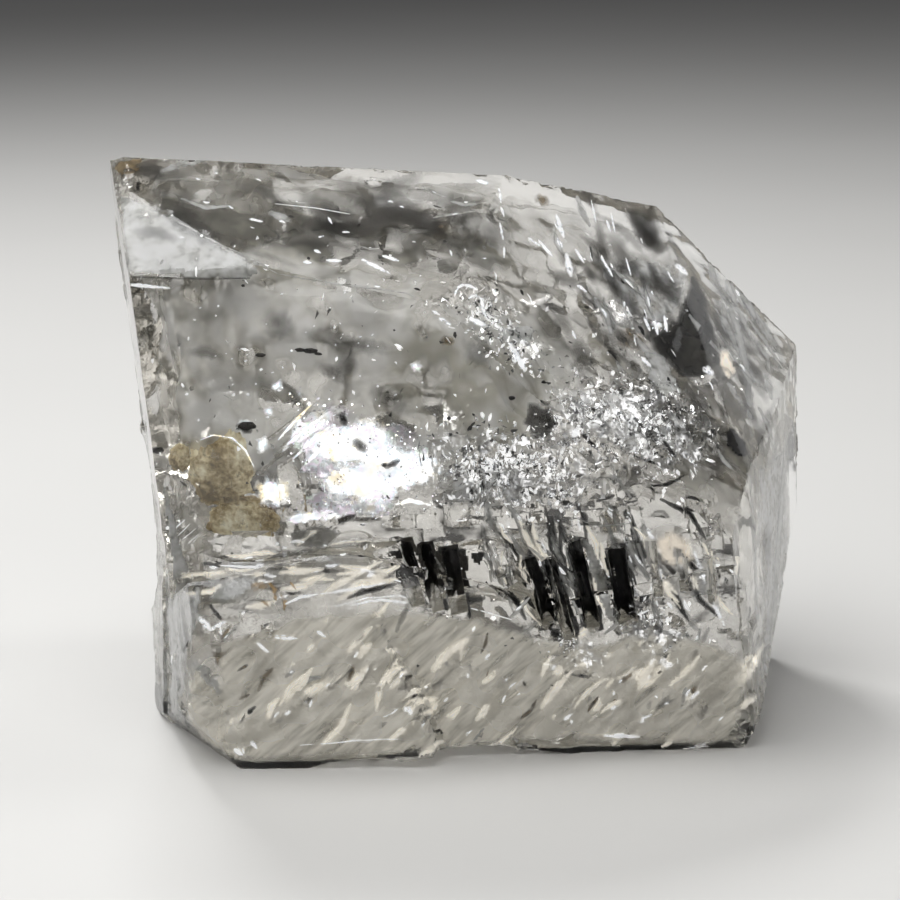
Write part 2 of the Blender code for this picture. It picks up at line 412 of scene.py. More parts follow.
def relief(bm, settings):
    """Moves the even surface by the growth lines, steps and grain of each zone, and returns how
    frosted each vertex is."""
    verts = bm.verts[:]
    places = np.array([v.co for v in verts])
    normals = np.array([v.normal for v in verts])
    pixels = pixels_of(places)
    facing = soft_step(normals @ np.array(CAMERA_BACK), 0.02, 0.25)
    facing *= 1 - soft_step(places[:, 1], 2.0, 9.0)
    behind = soft_step(-normals @ np.array(CAMERA_BACK), -0.1, 0.25)
    glitter = np.max([in_zone(pixels, c) for c in GLITTER_ZONES], axis=0) * facing
    frost = np.max([in_zone(pixels, c) for c in FROST_ZONES], axis=0) * facing
    brush = in_zone(pixels, BRUSH_ZONE) * facing
    layered = in_zone(pixels, LAYERED_ZONE) * facing
    steep = in_zone(pixels, STEEP_LINES_ZONE) * facing
    level = in_zone(pixels, LEVEL_LINES_ZONE) * facing
    under = soft_step(-normals[:, 2], 0.8, 0.97)
    calm = 1 - np.max([in_zone(pixels, c) for c in CLEAR_ZONES], axis=0) * facing
    layered *= calm
    frost *= calm
    for i, v in enumerate(verts):
        p = v.co
        height = 0.035 * noise.noise(p * 0.35) + 0.012 * noise.noise(p * 1.1)
        if glitter[i] > 0:
            height += glitter[i] * settings.crystallite_height * crystallites(p, 0.85)
        if brush[i] > 0:
            height += brush[i] * 0.16 * lines(p, Vector((0.7, 0, 0.7)), Vector((-0.7, 0, 0.7)), 1.1, 4.0)
            height += brush[i] * 0.09 * crystallites(p, 1.6)
        if layered[i] > 0:
            height += layered[i] * 0.22 * lines(p, Vector((1, 0, 0.05)), Vector((0, 0.3, 1)), 1.5, 9.0)
        if steep[i] > 0:
            height += steep[i] * 0.07 * lines(p, Vector((0.3, 0.55, 0.78)), Vector((0.9, -0.3, 0)), 1.2, 2.0)
        if level[i] > 0:
            height += level[i] * 0.02 * lines(p, Vector((1, 0, -0.12)), Vector((0.1, 1, 0.3)), 0.9, 6.0)
        if behind[i] > 0 and under[i] < 0.5:
            wave = stepped(noise.fractal(p * Vector((0.28, 0.28, 0.2)), 0.9, 2.1, 3), 7)
            height += behind[i] * (0.16 * wave + 0.04 * lines(
                p, Vector((1, 0.2, 0)), Vector((0, 0.1, 1)), 1.4, 3.0))
        v.co = p + v.normal * height * (1 - under[i])
    grain = np.clip(np.array([noise.noise(p * 0.8) for p in map(Vector, places)]) + 0.4, 0, 1)
    ridge = np.array([noise.noise(v.co * 0.9) + 0.6 if max(
        (e.calc_face_angle(0) for e in v.link_edges), default=0) > 0.3 else 0 for v in verts])
    return np.clip(0.35 * glitter + 0.5 * ridge * calm + 0.9 * frost * (0.5 + 0.5 * grain) + 0.12 * behind * grain
                   + 0.35 * under, 0, 1)


def soften_seams(bm):
    """Melts the lengths of the terrace into one another."""
    verts = bm.verts[:]
    pixels = pixels_of(np.array([v.co for v in verts]))
    share = np.max([in_zone(pixels, c) for c in SEAM_ZONES], axis=0)
    seam = [v for v, s in zip(verts, share) if s > 0.3 and v.co.y < -4 and v.co.z > 0.6]
    for _ in range(36):
        bmesh.ops.smooth_vert(bm, verts=seam, factor=0.6, use_axis_x=True, use_axis_y=True,
                              use_axis_z=True)


def wear(bm, reach):
    """Rounds the sharp edges a little, more in some places than in others."""
    bm.normal_update()
    edge = [e for e in bm.edges if e.is_manifold and e.calc_face_angle() > math.radians(22)]
    worn = list({v for e in edge for v in e.verts})
    bmesh.ops.smooth_vert(bm, verts=worn, factor=0.25, use_axis_x=True, use_axis_y=True,
                          use_axis_z=True)
    bm.normal_update()
    for v in worn:
        bite = noise.noise(v.co * 0.55 + Vector((9, 4, 1))) + 0.5 * noise.noise(v.co * 2.3)
        if bite > 0.28 and v.co.z > 0.3:
            v.co -= v.normal * min(reach, (bite - 0.28) * 0.8)


class QUARTZ_OT_crystal(bpy.types.Operator):
    """Makes the stone's fine surface"""

    bl_idname = "quartz.crystal"
    bl_label = "Crystal"

    def execute(self, context):
        settings = context.scene.quartz
        bm = remeshed(solid_in_mm(), settings.grain)
        soften_seams(bm)
        wear(bm, settings.wear)
        bm.normal_update()
        frosted = relief(bm, settings)
        layer = bm.verts.layers.float.new("frost")
        for v, amount in zip(bm.verts, frosted):
            v[layer] = amount
        keep_in_box(bm)
        skin = piece_of("crystal_surface", bm, quartz_finish(settings), smooth=22)
        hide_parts(NODE)
        return {"FINISHED"}


def keep_in_box(bm):
    """Brings any vertex that grew out of the solid's box back to it."""
    low, high = (Vector(corner) / MM for corner in CAD_BOX)
    for v in bm.verts:
        for axis in range(3):
            v.co[axis] = min(max(v.co[axis], low[axis]), high[axis])


def quartz_finish(settings):
    finish = Finish(
        "clear_quartz", Base_Color=(1, 1, 1, 1), Roughness=0.03, IOR=QUARTZ_IOR,
        Transmission_Weight=1.0)
    frost = finish.attribute("frost")
    finish.feed("Roughness", finish.between(frost, 0, 1, 0.025, 0.42))
    grain = finish.noise(6, 0) * (frost + 0.05)
    finish.bump(grain, 0.6, 0.05)
    absorption = finish.tree.nodes.new("ShaderNodeVolumeAbsorption")
    absorption.inputs["Color"].default_value = (*settings.tint, 1.0)
    absorption.inputs["Density"].default_value = settings.depth_of_tint
    finish.tree.links.new(absorption.outputs[0], finish.output.inputs["Volume"])
    finish.material.cycles.homogeneous_volume = True
    return finish.material


# What is sealed inside

# Phantoms are faint clouded layers that follow the stone's own faces at some depth. Each face
# has an azimuth, an elevation and a reach from the middle, as the solid's faces have.
MIDDLE = Vector((0, 0, 14))
PHANTOM_FACES = [
    (14.7, 64.2, 11.83), (-7.2, 6.5, 8.69), (-12.6, 45.7, 13.94), (49.1, 44.3, 9.85),
    (62.9, 39.0, 11.69), (71.3, 8.5, 15.08), (73.3, -25.2, 20.14), (-80.9, -5.7, 15.75),
    (-5.4, -15.1, 7.28), (177.8, 67.2, 14.66), (176.0, 35.0, 15.2), (142.0, 37.0, 18.3),
    (146.9, -4.0, 18.8), (178.0, 4.0, 12.0), (-135.0, -3.0, 15.6), (0.0, -90.0, 14.0),
]


def outward(azimuth, elevation):
    a, e = math.radians(azimuth), math.radians(elevation)
    return Vector((math.sin(a) * math.cos(e), -math.cos(a) * math.cos(e), math.sin(e)))


def phantom(depth, seed):
    """A closed, softened copy of the stone's main form, this far under its faces."""
    bm = bmesh.new()
    bmesh.ops.create_cube(bm, size=80)
    bmesh.ops.translate(bm, verts=bm.verts[:], vec=MIDDLE)
    for azimuth, elevation, reach in PHANTOM_FACES:
        look = outward(azimuth, elevation)
        cut = bmesh.ops.bisect_plane(
            bm, geom=bm.verts[:] + bm.edges[:] + bm.faces[:], clear_outer=True,
            plane_co=MIDDLE + look * (reach - depth), plane_no=look)
        rim = [g for g in cut["geom_cut"] if isinstance(g, bmesh.types.BMEdge)]
        bmesh.ops.holes_fill(bm, edges=rim, sides=0)
    bm = remeshed(bm, 0.5)
    for _ in range(4):
        bmesh.ops.smooth_vert(bm, verts=bm.verts[:], factor=0.5, use_axis_x=True,
                              use_axis_y=True, use_axis_z=True)
    bm.normal_update()
    shift = Vector((seed * 3.7, seed * 1.3, 0))
    for v in bm.verts:
        sway = noise.fractal(v.co * 0.22 + shift, 0.9, 2.0, 3)
        v.co -= v.normal * (0.45 + 0.9 * sway)
    return bm


def sheet(bm, middle, across, up, half_across, half_up, bend, seed, step=0.22, margin=0.2):
    """Adds a curved sheet with a ragged outline, kept under the stone's surface."""
    layer = bm.verts.layers.float.get("cover") or bm.verts.layers.float.new("cover")
    cells = max(6, int(2 * half_across / step)), max(6, int(2 * half_up / step))
    made = bmesh.ops.create_grid(bm, x_segments=cells[0], y_segments=cells[1], size=1)["verts"]
    out = across.cross(up).normalized()
    shift = Vector((seed * 2.3, seed * 5.1, seed))
    loose = []
    for v in made:
        x, y = v.co.x, v.co.y
        edge = math.hypot(x, y) + 0.35 * noise.noise(Vector((x * 2, y * 2, seed)))
        place = middle + across * (x * half_across) + up * (y * half_up)
        sway = bend * (x * x + 0.6 * y * y) + 0.5 * abs(bend) * noise.noise(place * 0.35 + shift)
        v.co = place + out * sway
        v[layer] = float(soft_step(1 - edge, 0.06, 0.5))
        if edge > 0.92 or not sealed(v.co, margin):
            loose.append(v)
    bmesh.ops.delete(bm, geom=loose, context="VERTS")
    stray = [v for v in bm.verts if not v.link_faces]
    bmesh.ops.delete(bm, geom=stray, context="VERTS")


def flake(bm, middle, turn, radius, rng, corners=6, uneven=0.35):
    """Adds one small flat chip with uneven corners."""
    made = bmesh.ops.create_circle(bm, cap_ends=True, segments=corners, radius=radius)["verts"]
    for v in made:
        v.co *= 1 + rng.uniform(-uneven, uneven)
    bmesh.ops.transform(bm, matrix=Matrix.Translation(middle) @ turn, verts=made)


def thickened(bm, thickness):
    """Gives open sheets and chips their thickness, so that each is closed."""
    bmesh.ops.recalc_face_normals(bm, faces=bm.faces[:])
    bm.normal_update()
    made = bmesh.ops.extrude_face_region(bm, geom=bm.faces[:], use_keep_orig=True)["geom"]
    for v in made:
        if isinstance(v, bmesh.types.BMVert):
            v.co += v.normal * thickness
    bmesh.ops.recalc_face_normals(bm, faces=bm.faces[:])
    return bm


def share_cover(bm):
    """Marks how clouded each vertex of a layer is: more in hazy zones, not at all in clear ones,
    and how far painted shade darkens it under the roof, on the front's dark facet, on the upper right and on the
    bevel."""
    pixels = pixels_of(np.array([v.co for v in bm.verts]))
    haze = np.max([in_zone(pixels, c) for c in HAZE_ZONES], axis=0)
    clear = np.max([in_zone(pixels, c) for c in CLEAR_ZONES], axis=0)
    front = np.array([v.co.y < 0 for v in bm.verts])
    dull = np.max([in_zone(pixels, c) * strength for strength, c in PAINTED_SHADE_ZONES], axis=0) * front
    layers = bm.verts.layers.float
    cover, tone = layers.new("cover"), layers.new("dull")
    share_all = (0.3 + 0.7 * haze) * (1 - clear) + 0.6 * dull
    for v, share, dim in zip(bm.verts, np.where(front, share_all, 0.5), dull):
        v[cover] = share
        v[tone] = dim


def veil_finish(name, colour, shade, cover, scale=0.5, low=0.42, high=0.68, painted_glow=0.0,
                turn=(0, 0, 0), stretch=(1, 1, 1)):
    """A clouded layer: two tones, and patches through which one looks on into the stone. Its dull
    attribute darkens it further as painted shade, and where emission is given it shines as
    painted light.
    """
    finish = Finish(name, Roughness=0.7)
    drift = finish.noise(scale, 2, 0.7, turn, stretch)
    finish.feed("Base Color", finish.ramp(
        drift - finish.attribute("dull") * 0.36, (0.12, [c * 0.35 for c in shade]), (0.38, shade),
        (0.6, colour)))
    share = finish.attribute("cover")
    finish.feed("Alpha", finish.between(drift + share * 0.15, low, high, 0.0, cover) * share)
    # Emission is painted light: the sheet shines though no lamp lights it.
    if painted_glow:
        finish.shader.inputs["Emission Color"].default_value = (*colour, 1)
        finish.shader.inputs["Emission Strength"].default_value = painted_glow
    return finish.material


def painted_flash_finish():
    """The white film of a fracture with faint rainbow tints, whose flash is a painted highlight:
    it shines by emission.
    """
    finish = Finish("painted_flash_mark", Roughness=0.5, Emission_Strength=0.8)
    tint = finish.ramp(
        finish.noise(1.1, 2, 0.6), (0.3, (1.0, 0.88, 0.62)), (0.4, (0.98, 0.97, 0.93)),
        (0.48, (1, 1, 1)), (0.55, (0.80, 0.90, 0.95)), (0.61, (0.95, 0.84, 0.95)),
        (0.7, (0.85, 0.95, 0.85)))
    finish.feed("Base Color", tint)
    finish.feed("Emission Color", tint)
    share = finish.attribute("cover")
    grain = finish.noise(2.6, 3, 0.7)
    finish.feed("Alpha", finish.between(grain + share * 0.45, 0.62, 0.9) * share)
    return finish.material


class QUARTZ_OT_phantoms(bpy.types.Operator):
    """Makes the clouded layers that follow the stone's faces inside"""

    bl_idname = "quartz.phantoms"
    bl_label = "Phantoms"

    def execute(self, context):
        settings = context.scene.quartz
        pale, dull = settings.cloud_colour, settings.cloud_shade
        for index, (depth, cover, low) in enumerate(((1.5, 0.75, 0.44),)):
            bm = phantom(depth, index + 1)
            outside = [v for v in bm.verts if not sealed(v.co, 0.25)]
            for v in outside:
                near, normal, _, _ = STONE.find_nearest(v.co)
                v.co = near - normal * 0.3
            # share_cover also sets the dull attribute: painted shade under the roof, on the upper right and on the
            # bevel.
            share_cover(bm)
            finish = veil_finish(f"phantom_cloud_{index + 1}", pale, dull, cover, 0.35 + 0.15 * index, low, low + 0.24)
            piece_of(f"phantom_{index + 1}", bm, finish, smooth=180)
        return {"FINISHED"}


class QUARTZ_OT_glitter(bpy.types.Operator):
    """Scatters chips under the etched places, and a few under all the front: mirror chips, white
    chips that shine by emission as painted glints, and dark chips that paint dark reflections
    """

    bl_idname = "quartz.glitter"
    bl_label = "Glitter"

    def execute(self, context):
        settings = context.scene.quartz
        rng = random.Random(5)
        # White chips shine by emission as painted glints and dark chips are painted dark reflections; the mirror chips
        # reflect the lamps.
        kinds = [
            ("mirror_chips", Finish("mirror_chip", Metallic=1.0, Roughness=0.12).mottle(
                0.8, (0.86, 0.86, 0.85), (0.97, 0.98, 1.0)), 0.45),
            ("painted_glint_chips", Finish("painted_glint_chip", Roughness=0.4, Emission_Color=(1, 1, 1, 1),
                                   Emission_Strength=0.7).mottle(
                0.8, (0.9, 0.89, 0.86), (1.0, 1.0, 1.0)), 0.34),
            ("painted_dark_reflection_chips", Finish("painted_dark_reflection_chip", Roughness=0.3).mottle(
                0.8, (0.015, 0.015, 0.014), (0.06, 0.058, 0.052)), 0.21),
        ]
        sizes = [c.reach * (c.reach + math.dist(c.places[0], c.places[-1])) for c in GLITTER_ZONES]
        for name, finish, share in kinds:
            bm = bmesh.new()
            wanted = int(settings.glitter_count * share)
            while len(bm.faces) < wanted:
                if rng.random() < 0.12:
                    px, py = rng.uniform(150, 740), rng.uniform(220, 700)
                else:
                    px, py = spot_in(rng.choices(GLITTER_ZONES, sizes)[0], rng)
                seen = sight(px, py)
                depth = rng.uniform(0.15, 0.7)
                if seen is None or not sealed(seen.place + seen.inward * depth, 0.1):
                    continue
                place = seen.place + seen.inward * depth
                turn = Euler([rng.uniform(0, math.tau) for _ in range(3)]).to_matrix().to_4x4()
                long = Matrix.Diagonal((rng.uniform(0.8, 2.6), 1, 1, 1))
                flake(bm, place, turn @ long, rng.uniform(0.04, 0.13), rng, rng.choice((3, 4, 5)))
            piece_of(name, thickened(bm, 0.012), finish)
        return {"FINISHED"}


# Marks under the faces

# The main faces, as the solid has them: azimuth and elevation. A mark under a face is placed by
# its pixels, and the line of sight bends once, as it would at that face.
FACES = {
    "roof": (14.7, 64.2), "front": (-7.2, 6.5), "triangle": (-12.6, 45.7), "upper": (49.1, 44.3),
    "bevel": (62.9, 39.0), "side": (71.3, 8.5), "left": (-75.9, -0.2), "band": (-5.4, -15.1),
    "foot": (2.5, -14.0),
}

# An area has its face, its depth in millimetres, how soft its rim is in pixels and its outline.
# A streak has its face, depth, width in pixels and the pixels that it runs through.
Area = namedtuple("Area", "face depth soft outline")
Streak = namedtuple("Streak", "face depth width path")
# These marks are painted glints and highlights: white sheets that shine by emission on the ridges, roof, upper faces,
# band and foot.
PAINTED_GLINT_MARKS = [
    Streak("foot", 0.2, 1.6, ((335, 607), (370, 598), (400, 596), (430, 605), (458, 607))),
    Streak("front", 0.2, 4, ((122, 284), (145, 286), (170, 288))),
    Streak("front", 0.2, 3, ((121, 292), (130, 295))),
    Streak("roof", 0.3, 5, ((361, 259), (374, 266), (390, 274))),
    Streak("roof", 0.3, 4, ((382, 256), (399, 261))),
    Streak("roof", 0.3, 3, ((249, 219), (263, 222))), Streak("roof", 0.3, 4, ((326, 260), (342, 261))),
    Streak("roof", 0.3, 4, ((303, 262), (312, 263))), Streak("roof", 0.3, 3, ((314, 250), (321, 253))),
    Streak("roof", 0.3, 2.5, ((328, 217), (332, 224))), Streak("roof", 0.3, 2, ((342, 232), (349, 232))),
    Streak("roof", 0.3, 0.9, ((275, 204), (315, 208), (350, 214))),
    Streak("roof", 0.3, 3, ((498, 188), (500, 202))), Streak("roof", 0.3, 3, ((500, 206), (503, 216))),
    Streak("roof", 0.3, 3, ((499, 222), (502, 239))), Streak("roof", 0.3, 2.5, ((503, 246), (503, 257))),
    Streak("roof", 0.3, 5, ((476, 180), (489, 184))), Streak("roof", 0.3, 2, ((450, 250), (452, 256))),
    Streak("upper", 0.4, 6, ((556, 214), (564, 238))), Streak("upper", 0.4, 8, ((566, 253), (571, 277))),
    Streak("upper", 0.4, 4, ((538, 240), (553, 257))), Streak("upper", 0.4, 1.8, ((591, 200), (596, 222))),
    Streak("upper", 0.4, 2, ((611, 213), (615, 232))), Streak("upper", 0.4, 2, ((626, 258), (631, 276))),
    Streak("upper", 0.4, 3.5, ((575, 249), (584, 263))), Streak("upper", 0.4, 3, ((601, 257), (613, 277))),
    Streak("upper", 0.4, 4, ((577, 285), (587, 292))), Streak("upper", 0.4, 3, ((528, 238), (540, 246))),
    Streak("upper", 0.4, 4, ((644, 317), (650, 331))), Streak("upper", 0.4, 4, ((654, 319), (658, 335))),
    Streak("upper", 0.4, 4, ((664, 315), (667, 332))), Streak("upper", 0.4, 7, ((675, 264), (687, 275))),
    Streak("upper", 0.4, 9, ((703, 367), (713, 375))), Streak("upper", 0.4, 5, ((641, 357), (651, 367))),
    Area("upper", 0.3, 3, ((500, 336), (512, 340), (527, 360), (529, 374), (518, 368))),
    Streak("front", 0.3, 3.5, ((453, 298), (457, 289), (466, 286), (476, 291))),
    Streak("front", 0.3, 3, ((466, 300), (474, 296), (482, 302))),
    Streak("front", 0.3, 4, ((479, 300), (485, 318))), Streak("front", 0.3, 6, ((466, 318), (484, 327))),
    Streak("front", 0.3, 5, ((439, 318), (451, 325))), Streak("front", 0.3, 3, ((432, 311), (440, 315))),
    Streak("front", 0.3, 8, ((571, 431), (578, 435))),
    Streak("band", 0.3, 6, ((694, 552), (703, 575), (713, 602), (724, 626))),
    Streak("band", 0.3, 5, ((647, 529), (656, 546))), Streak("band", 0.3, 4, ((652, 579), (652, 594))),
    Streak("band", 0.3, 8, ((679, 566), (692, 576))), Streak("band", 0.3, 3, ((635, 617), (649, 611))),
    Streak("foot", 0.3, 5, ((655, 649), (651, 664))), Streak("foot", 0.3, 6, ((661, 654), (668, 669))),
    Streak("foot", 0.2, 4, ((395, 580), (430, 590), (453, 602))),
    Streak("foot", 0.2, 4, ((285, 604), (300, 597), (318, 594))),
    Streak("foot", 0.2, 3, ((320, 594), (350, 590), (386, 583))),
    Streak("foot", 0.2, 3, ((350, 606), (380, 600), (422, 605))),
    Streak("foot", 0.2, 1.4, ((462, 606), (486, 612), (512, 620))),
    Streak("foot", 0.2, 8, ((199, 617), (211, 630))), Streak("foot", 0.2, 5, ((210, 630), (226, 621))),
    Streak("foot", 0.2, 4, ((275, 637), (297, 638))), Streak("foot", 0.2, 4, ((317, 631), (326, 637))),
    Streak("foot", 0.2, 4, ((257, 643), (269, 653))), Streak("foot", 0.2, 3, ((222, 566), (262, 568), (275, 566))),
    Streak("front", 0.3, 1, ((177, 535), (190, 523))), Streak("front", 0.3, 1, ((182, 539), (196, 527))),
    Streak("front", 0.3, 1, ((187, 544), (199, 533))), Streak("front", 0.3, 1.4, ((176, 527), (185, 519))),
    Streak("foot", 0.3, 6, ((236, 749), (244, 756))), Streak("foot", 0.3, 5, ((251, 741), (257, 749))),
    Streak("foot", 0.3, 8, ((404, 707), (412, 715))), Streak("foot", 0.3, 4, ((384, 717), (398, 709))),
    Streak("foot", 0.3, 1.4, ((300, 746), (350, 741), (400, 739))),
    Streak("foot", 0.3, 4, ((564, 720), (572, 714))), Streak("foot", 0.3, 5, ((640, 722), (652, 714))),
    Streak("foot", 0.3, 5, ((690, 700), (700, 690))), Streak("foot", 0.3, 4, ((604, 735), (640, 737))),
]
# These marks are partly pale haze and partly painted light: painted highlights along the ridges and painted sheen on
# the triangle, the bevel and the side.
HAZE_AND_PAINTED_SHEEN_MARKS = [
    Area("triangle", 0.8, 3, ((121, 192), (131, 196), (170, 217), (240, 255), (262, 268), (244, 277),
                              (190, 275), (122, 273))),
    Area("upper", 0.3, 2, ((500, 330), (520, 324), (537, 328), (529, 346), (505, 344))),
    Area("upper", 0.5, 4, ((643, 350), (664, 354), (684, 392), (662, 398), (648, 380))),
    Area("foot", 0.3, 3, ((206, 602), (222, 582), (250, 571), (264, 580), (248, 597), (225, 606))),
    Area("foot", 0.4, 4, ((192, 652), (212, 668), (229, 700), (231, 733), (206, 737), (188, 700))),
    Area("band", 0.25, 2, ((571, 534), (589, 538), (602, 562), (609, 590), (618, 626), (606, 620),
                           (592, 580), (576, 552))),
    Area("left", 0.5, 4, ((147, 468), (164, 490), (176, 545), (186, 573), (198, 590), (190, 640),
                          (186, 690), (172, 730), (158, 690), (152, 600), (152, 530))),
    Area("foot", 0.4, 5, ((286, 532), (320, 522), (345, 532), (330, 552), (292, 548))),
    Streak("triangle", 0.15, 1.4, ((129, 192), (150, 208), (184, 225), (215, 242), (245, 256), (280, 274))),
    Streak("front", 0.15, 1.5, ((280, 274), (300, 278), (330, 283), (364, 288), (406, 294), (425, 302))),
    Streak("band", 0.25, 6, ((403, 551), (412, 559), (421, 568))),
    Streak("band", 0.25, 4, ((404, 574), (414, 590), (425, 604))),
    Streak("band", 0.25, 5, ((431, 551), (441, 568), (451, 590), (462, 610))),
    Streak("band", 0.25, 5, ((549, 569), (558, 584), (566, 598))),
    Streak("band", 0.25, 3.5, ((520, 540), (545, 560), (566, 588), (588, 632))),
    Streak("band", 0.25, 4, ((563, 530), (574, 558), (590, 600), (601, 626))),
    Streak("band", 0.25, 3, ((480, 545), (495, 560), (505, 572))), Streak("band", 0.25, 3, ((500, 578), (530, 572))),
    Streak("band", 0.25, 3, ((525, 588), (545, 612))), Streak("band", 0.25, 2.5, ((575, 519), (600, 527), (632, 524))),
    Streak("bevel", 0.5, 11, ((712, 264), (735, 320), (748, 380), (752, 438))),
    Streak("bevel", 0.5, 9, ((738, 292), (765, 330), (786, 366))),
    Streak("bevel", 0.5, 8, ((765, 372), (772, 400))),
    Streak("bevel", 0.5, 10, ((722, 345), (732, 372))),
    Streak("roof", 0.4, 10, ((160, 172), (185, 163), (216, 158))),
    Streak("roof", 0.4, 9, ((268, 212), (292, 222))),
    Streak("side", 0.5, 4, ((749, 476), (755, 558), (757, 634), (759, 690))),
    Streak("side", 0.5, 6, ((785, 440), (780, 520), (772, 640))),
]
# The beige marks have a beige tone of their own, and shine by emission as a painted highlight.
BEIGE_MARKS = [
    Area("band", 0.3, 13, ((650, 541), (670, 526), (692, 540), (698, 562), (682, 573), (658, 564))),
    Area("upper", 0.5, 6, ((716, 346), (730, 350), (738, 372), (728, 384), (718, 368))),
]
# These marks are painted shade: dark grey sheets that darken the roof, the upper faces, the bevel and the strokes of
# the foot.
GREY_PAINTED_SHADE_MARKS = [
    Area("front", 0.5, 4, ((528, 404), (546, 408), (563, 424), (548, 433), (536, 439), (524, 424))),
    Area("upper", 0.6, 10, ((620, 205), (652, 210), (676, 250), (655, 262), (630, 232))),
    Streak("bevel", 0.5, 11, ((776, 398), (763, 430), (754, 457))),
    Streak("left", 0.4, 5, ((181, 598), (186, 640), (188, 690))),
    Streak("roof", 0.6, 26, ((430, 168), (385, 192), (340, 212))),
    Streak("roof", 0.6, 14, ((380, 212), (404, 214))),
    Streak("roof", 0.6, 16, ((250, 240), (310, 228), (350, 228), (392, 236))),
    Streak("roof", 0.6, 12, ((165, 208), (215, 236), (300, 268))),
    Streak("front", 0.4, 2.5, ((123, 277), (160, 278), (215, 279), (250, 278))),
    Streak("front", 0.8, 22, ((300, 330), (350, 345), (400, 350))),
    Streak("foot", 0.5, 8, ((378, 690), (390, 670))), Streak("foot", 0.5, 8, ((410, 700), (430, 676))),
    Streak("foot", 0.5, 9, ((450, 712), (470, 690))), Streak("foot", 0.5, 9, ((560, 690), (580, 684))),
    Streak("foot", 0.5, 9, ((640, 640), (650, 632))), Streak("foot", 0.5, 5, ((300, 735), (370, 726), (420, 724))),
    Streak("upper", 0.5, 7, ((576, 300), (600, 340), (640, 372))),
    Streak("upper", 0.5, 6, ((640, 382), (655, 404), (690, 440))),
]
# The window marks are painted shade: dark sheets where one looks into the stone's dark hollows.
PAINTED_SHADE_WINDOW_MARKS = [
    Area("upper", 0.6, 7, ((690, 268), (704, 290), (716, 330), (722, 362), (704, 380), (680, 380),
                           (656, 352), (650, 338), (676, 316), (684, 292))),
    Area("upper", 0.6, 14, ((618, 205), (640, 205), (662, 232), (660, 256), (640, 250), (626, 226))),
    Area("front", 0.8, 10, ((528, 400), (548, 404), (566, 426), (550, 438), (532, 440), (522, 424))),
    Streak("front", 0.5, 10, ((340, 412), (346, 426))), Streak("front", 0.5, 12, ((352, 440), (368, 450))),
    Streak("front", 0.4, 8, ((384, 467), (400, 459))), Streak("front", 0.6, 7, ((335, 521), (355, 514))),
    Streak("front", 0.5, 10, ((236, 425), (252, 432))),
]
# These marks paint the white flash of the fractures: painted highlights that shine by emission, with rainbow tints.
PAINTED_FLASH_MARKS = [
    Streak("front", 0.5, 2.2, ((200, 440), (213, 435), (232, 438), (246, 450), (254, 466))),
    Area("front", 0.9, 22, ((306, 455), (322, 424), (345, 412), (380, 408), (402, 436), (436, 444),
                            (450, 468), (432, 494), (404, 500), (384, 518), (352, 512), (322, 500),
                            (306, 478))),
    Area("front", 0.7, 16, ((322, 452), (345, 436), (378, 446), (408, 452), (424, 470), (400, 488),
                            (372, 498), (344, 486), (326, 470))),
    Area("front", 0.6, 12, ((266, 380), (282, 376), (289, 390), (276, 397), (265, 392))),
    Area("front", 0.6, 12, ((295, 382), (306, 384), (306, 402), (297, 410), (292, 396))),
    Area("front", 0.6, 12, ((258, 406), (270, 402), (282, 414), (276, 424), (262, 418))),
    Area("front", 0.8, 12, ((228, 418), (250, 414), (256, 426), (240, 432))),
    Area("front", 0.9, 12, ((252, 436), (268, 430), (276, 446), (262, 458), (250, 452))),
    Area("front", 0.5, 12, ((406, 362), (418, 357), (429, 364), (424, 376), (410, 376))),
    Area("front", 0.5, 12, ((376, 362), (387, 359), (389, 368), (379, 370))),
    Area("front", 0.8, 20, ((246, 476), (270, 466), (296, 476), (300, 500), (280, 516), (254, 508))),
    Area("front", 0.6, 5, ((280, 515), (320, 508), (357, 512), (330, 522), (288, 524))),
    Streak("front", 0.6, 7, ((282, 450), (304, 430), (330, 411))),
    Streak("front", 0.6, 5, ((292, 458), (314, 438), (334, 424))),
    Streak("front", 0.6, 5, ((300, 468), (318, 450), (330, 436))),
    Streak("front", 0.6, 4, ((278, 440), (296, 420), (312, 404))),
    Streak("front", 0.6, 5, ((392, 506), (410, 500), (436, 506))),
]
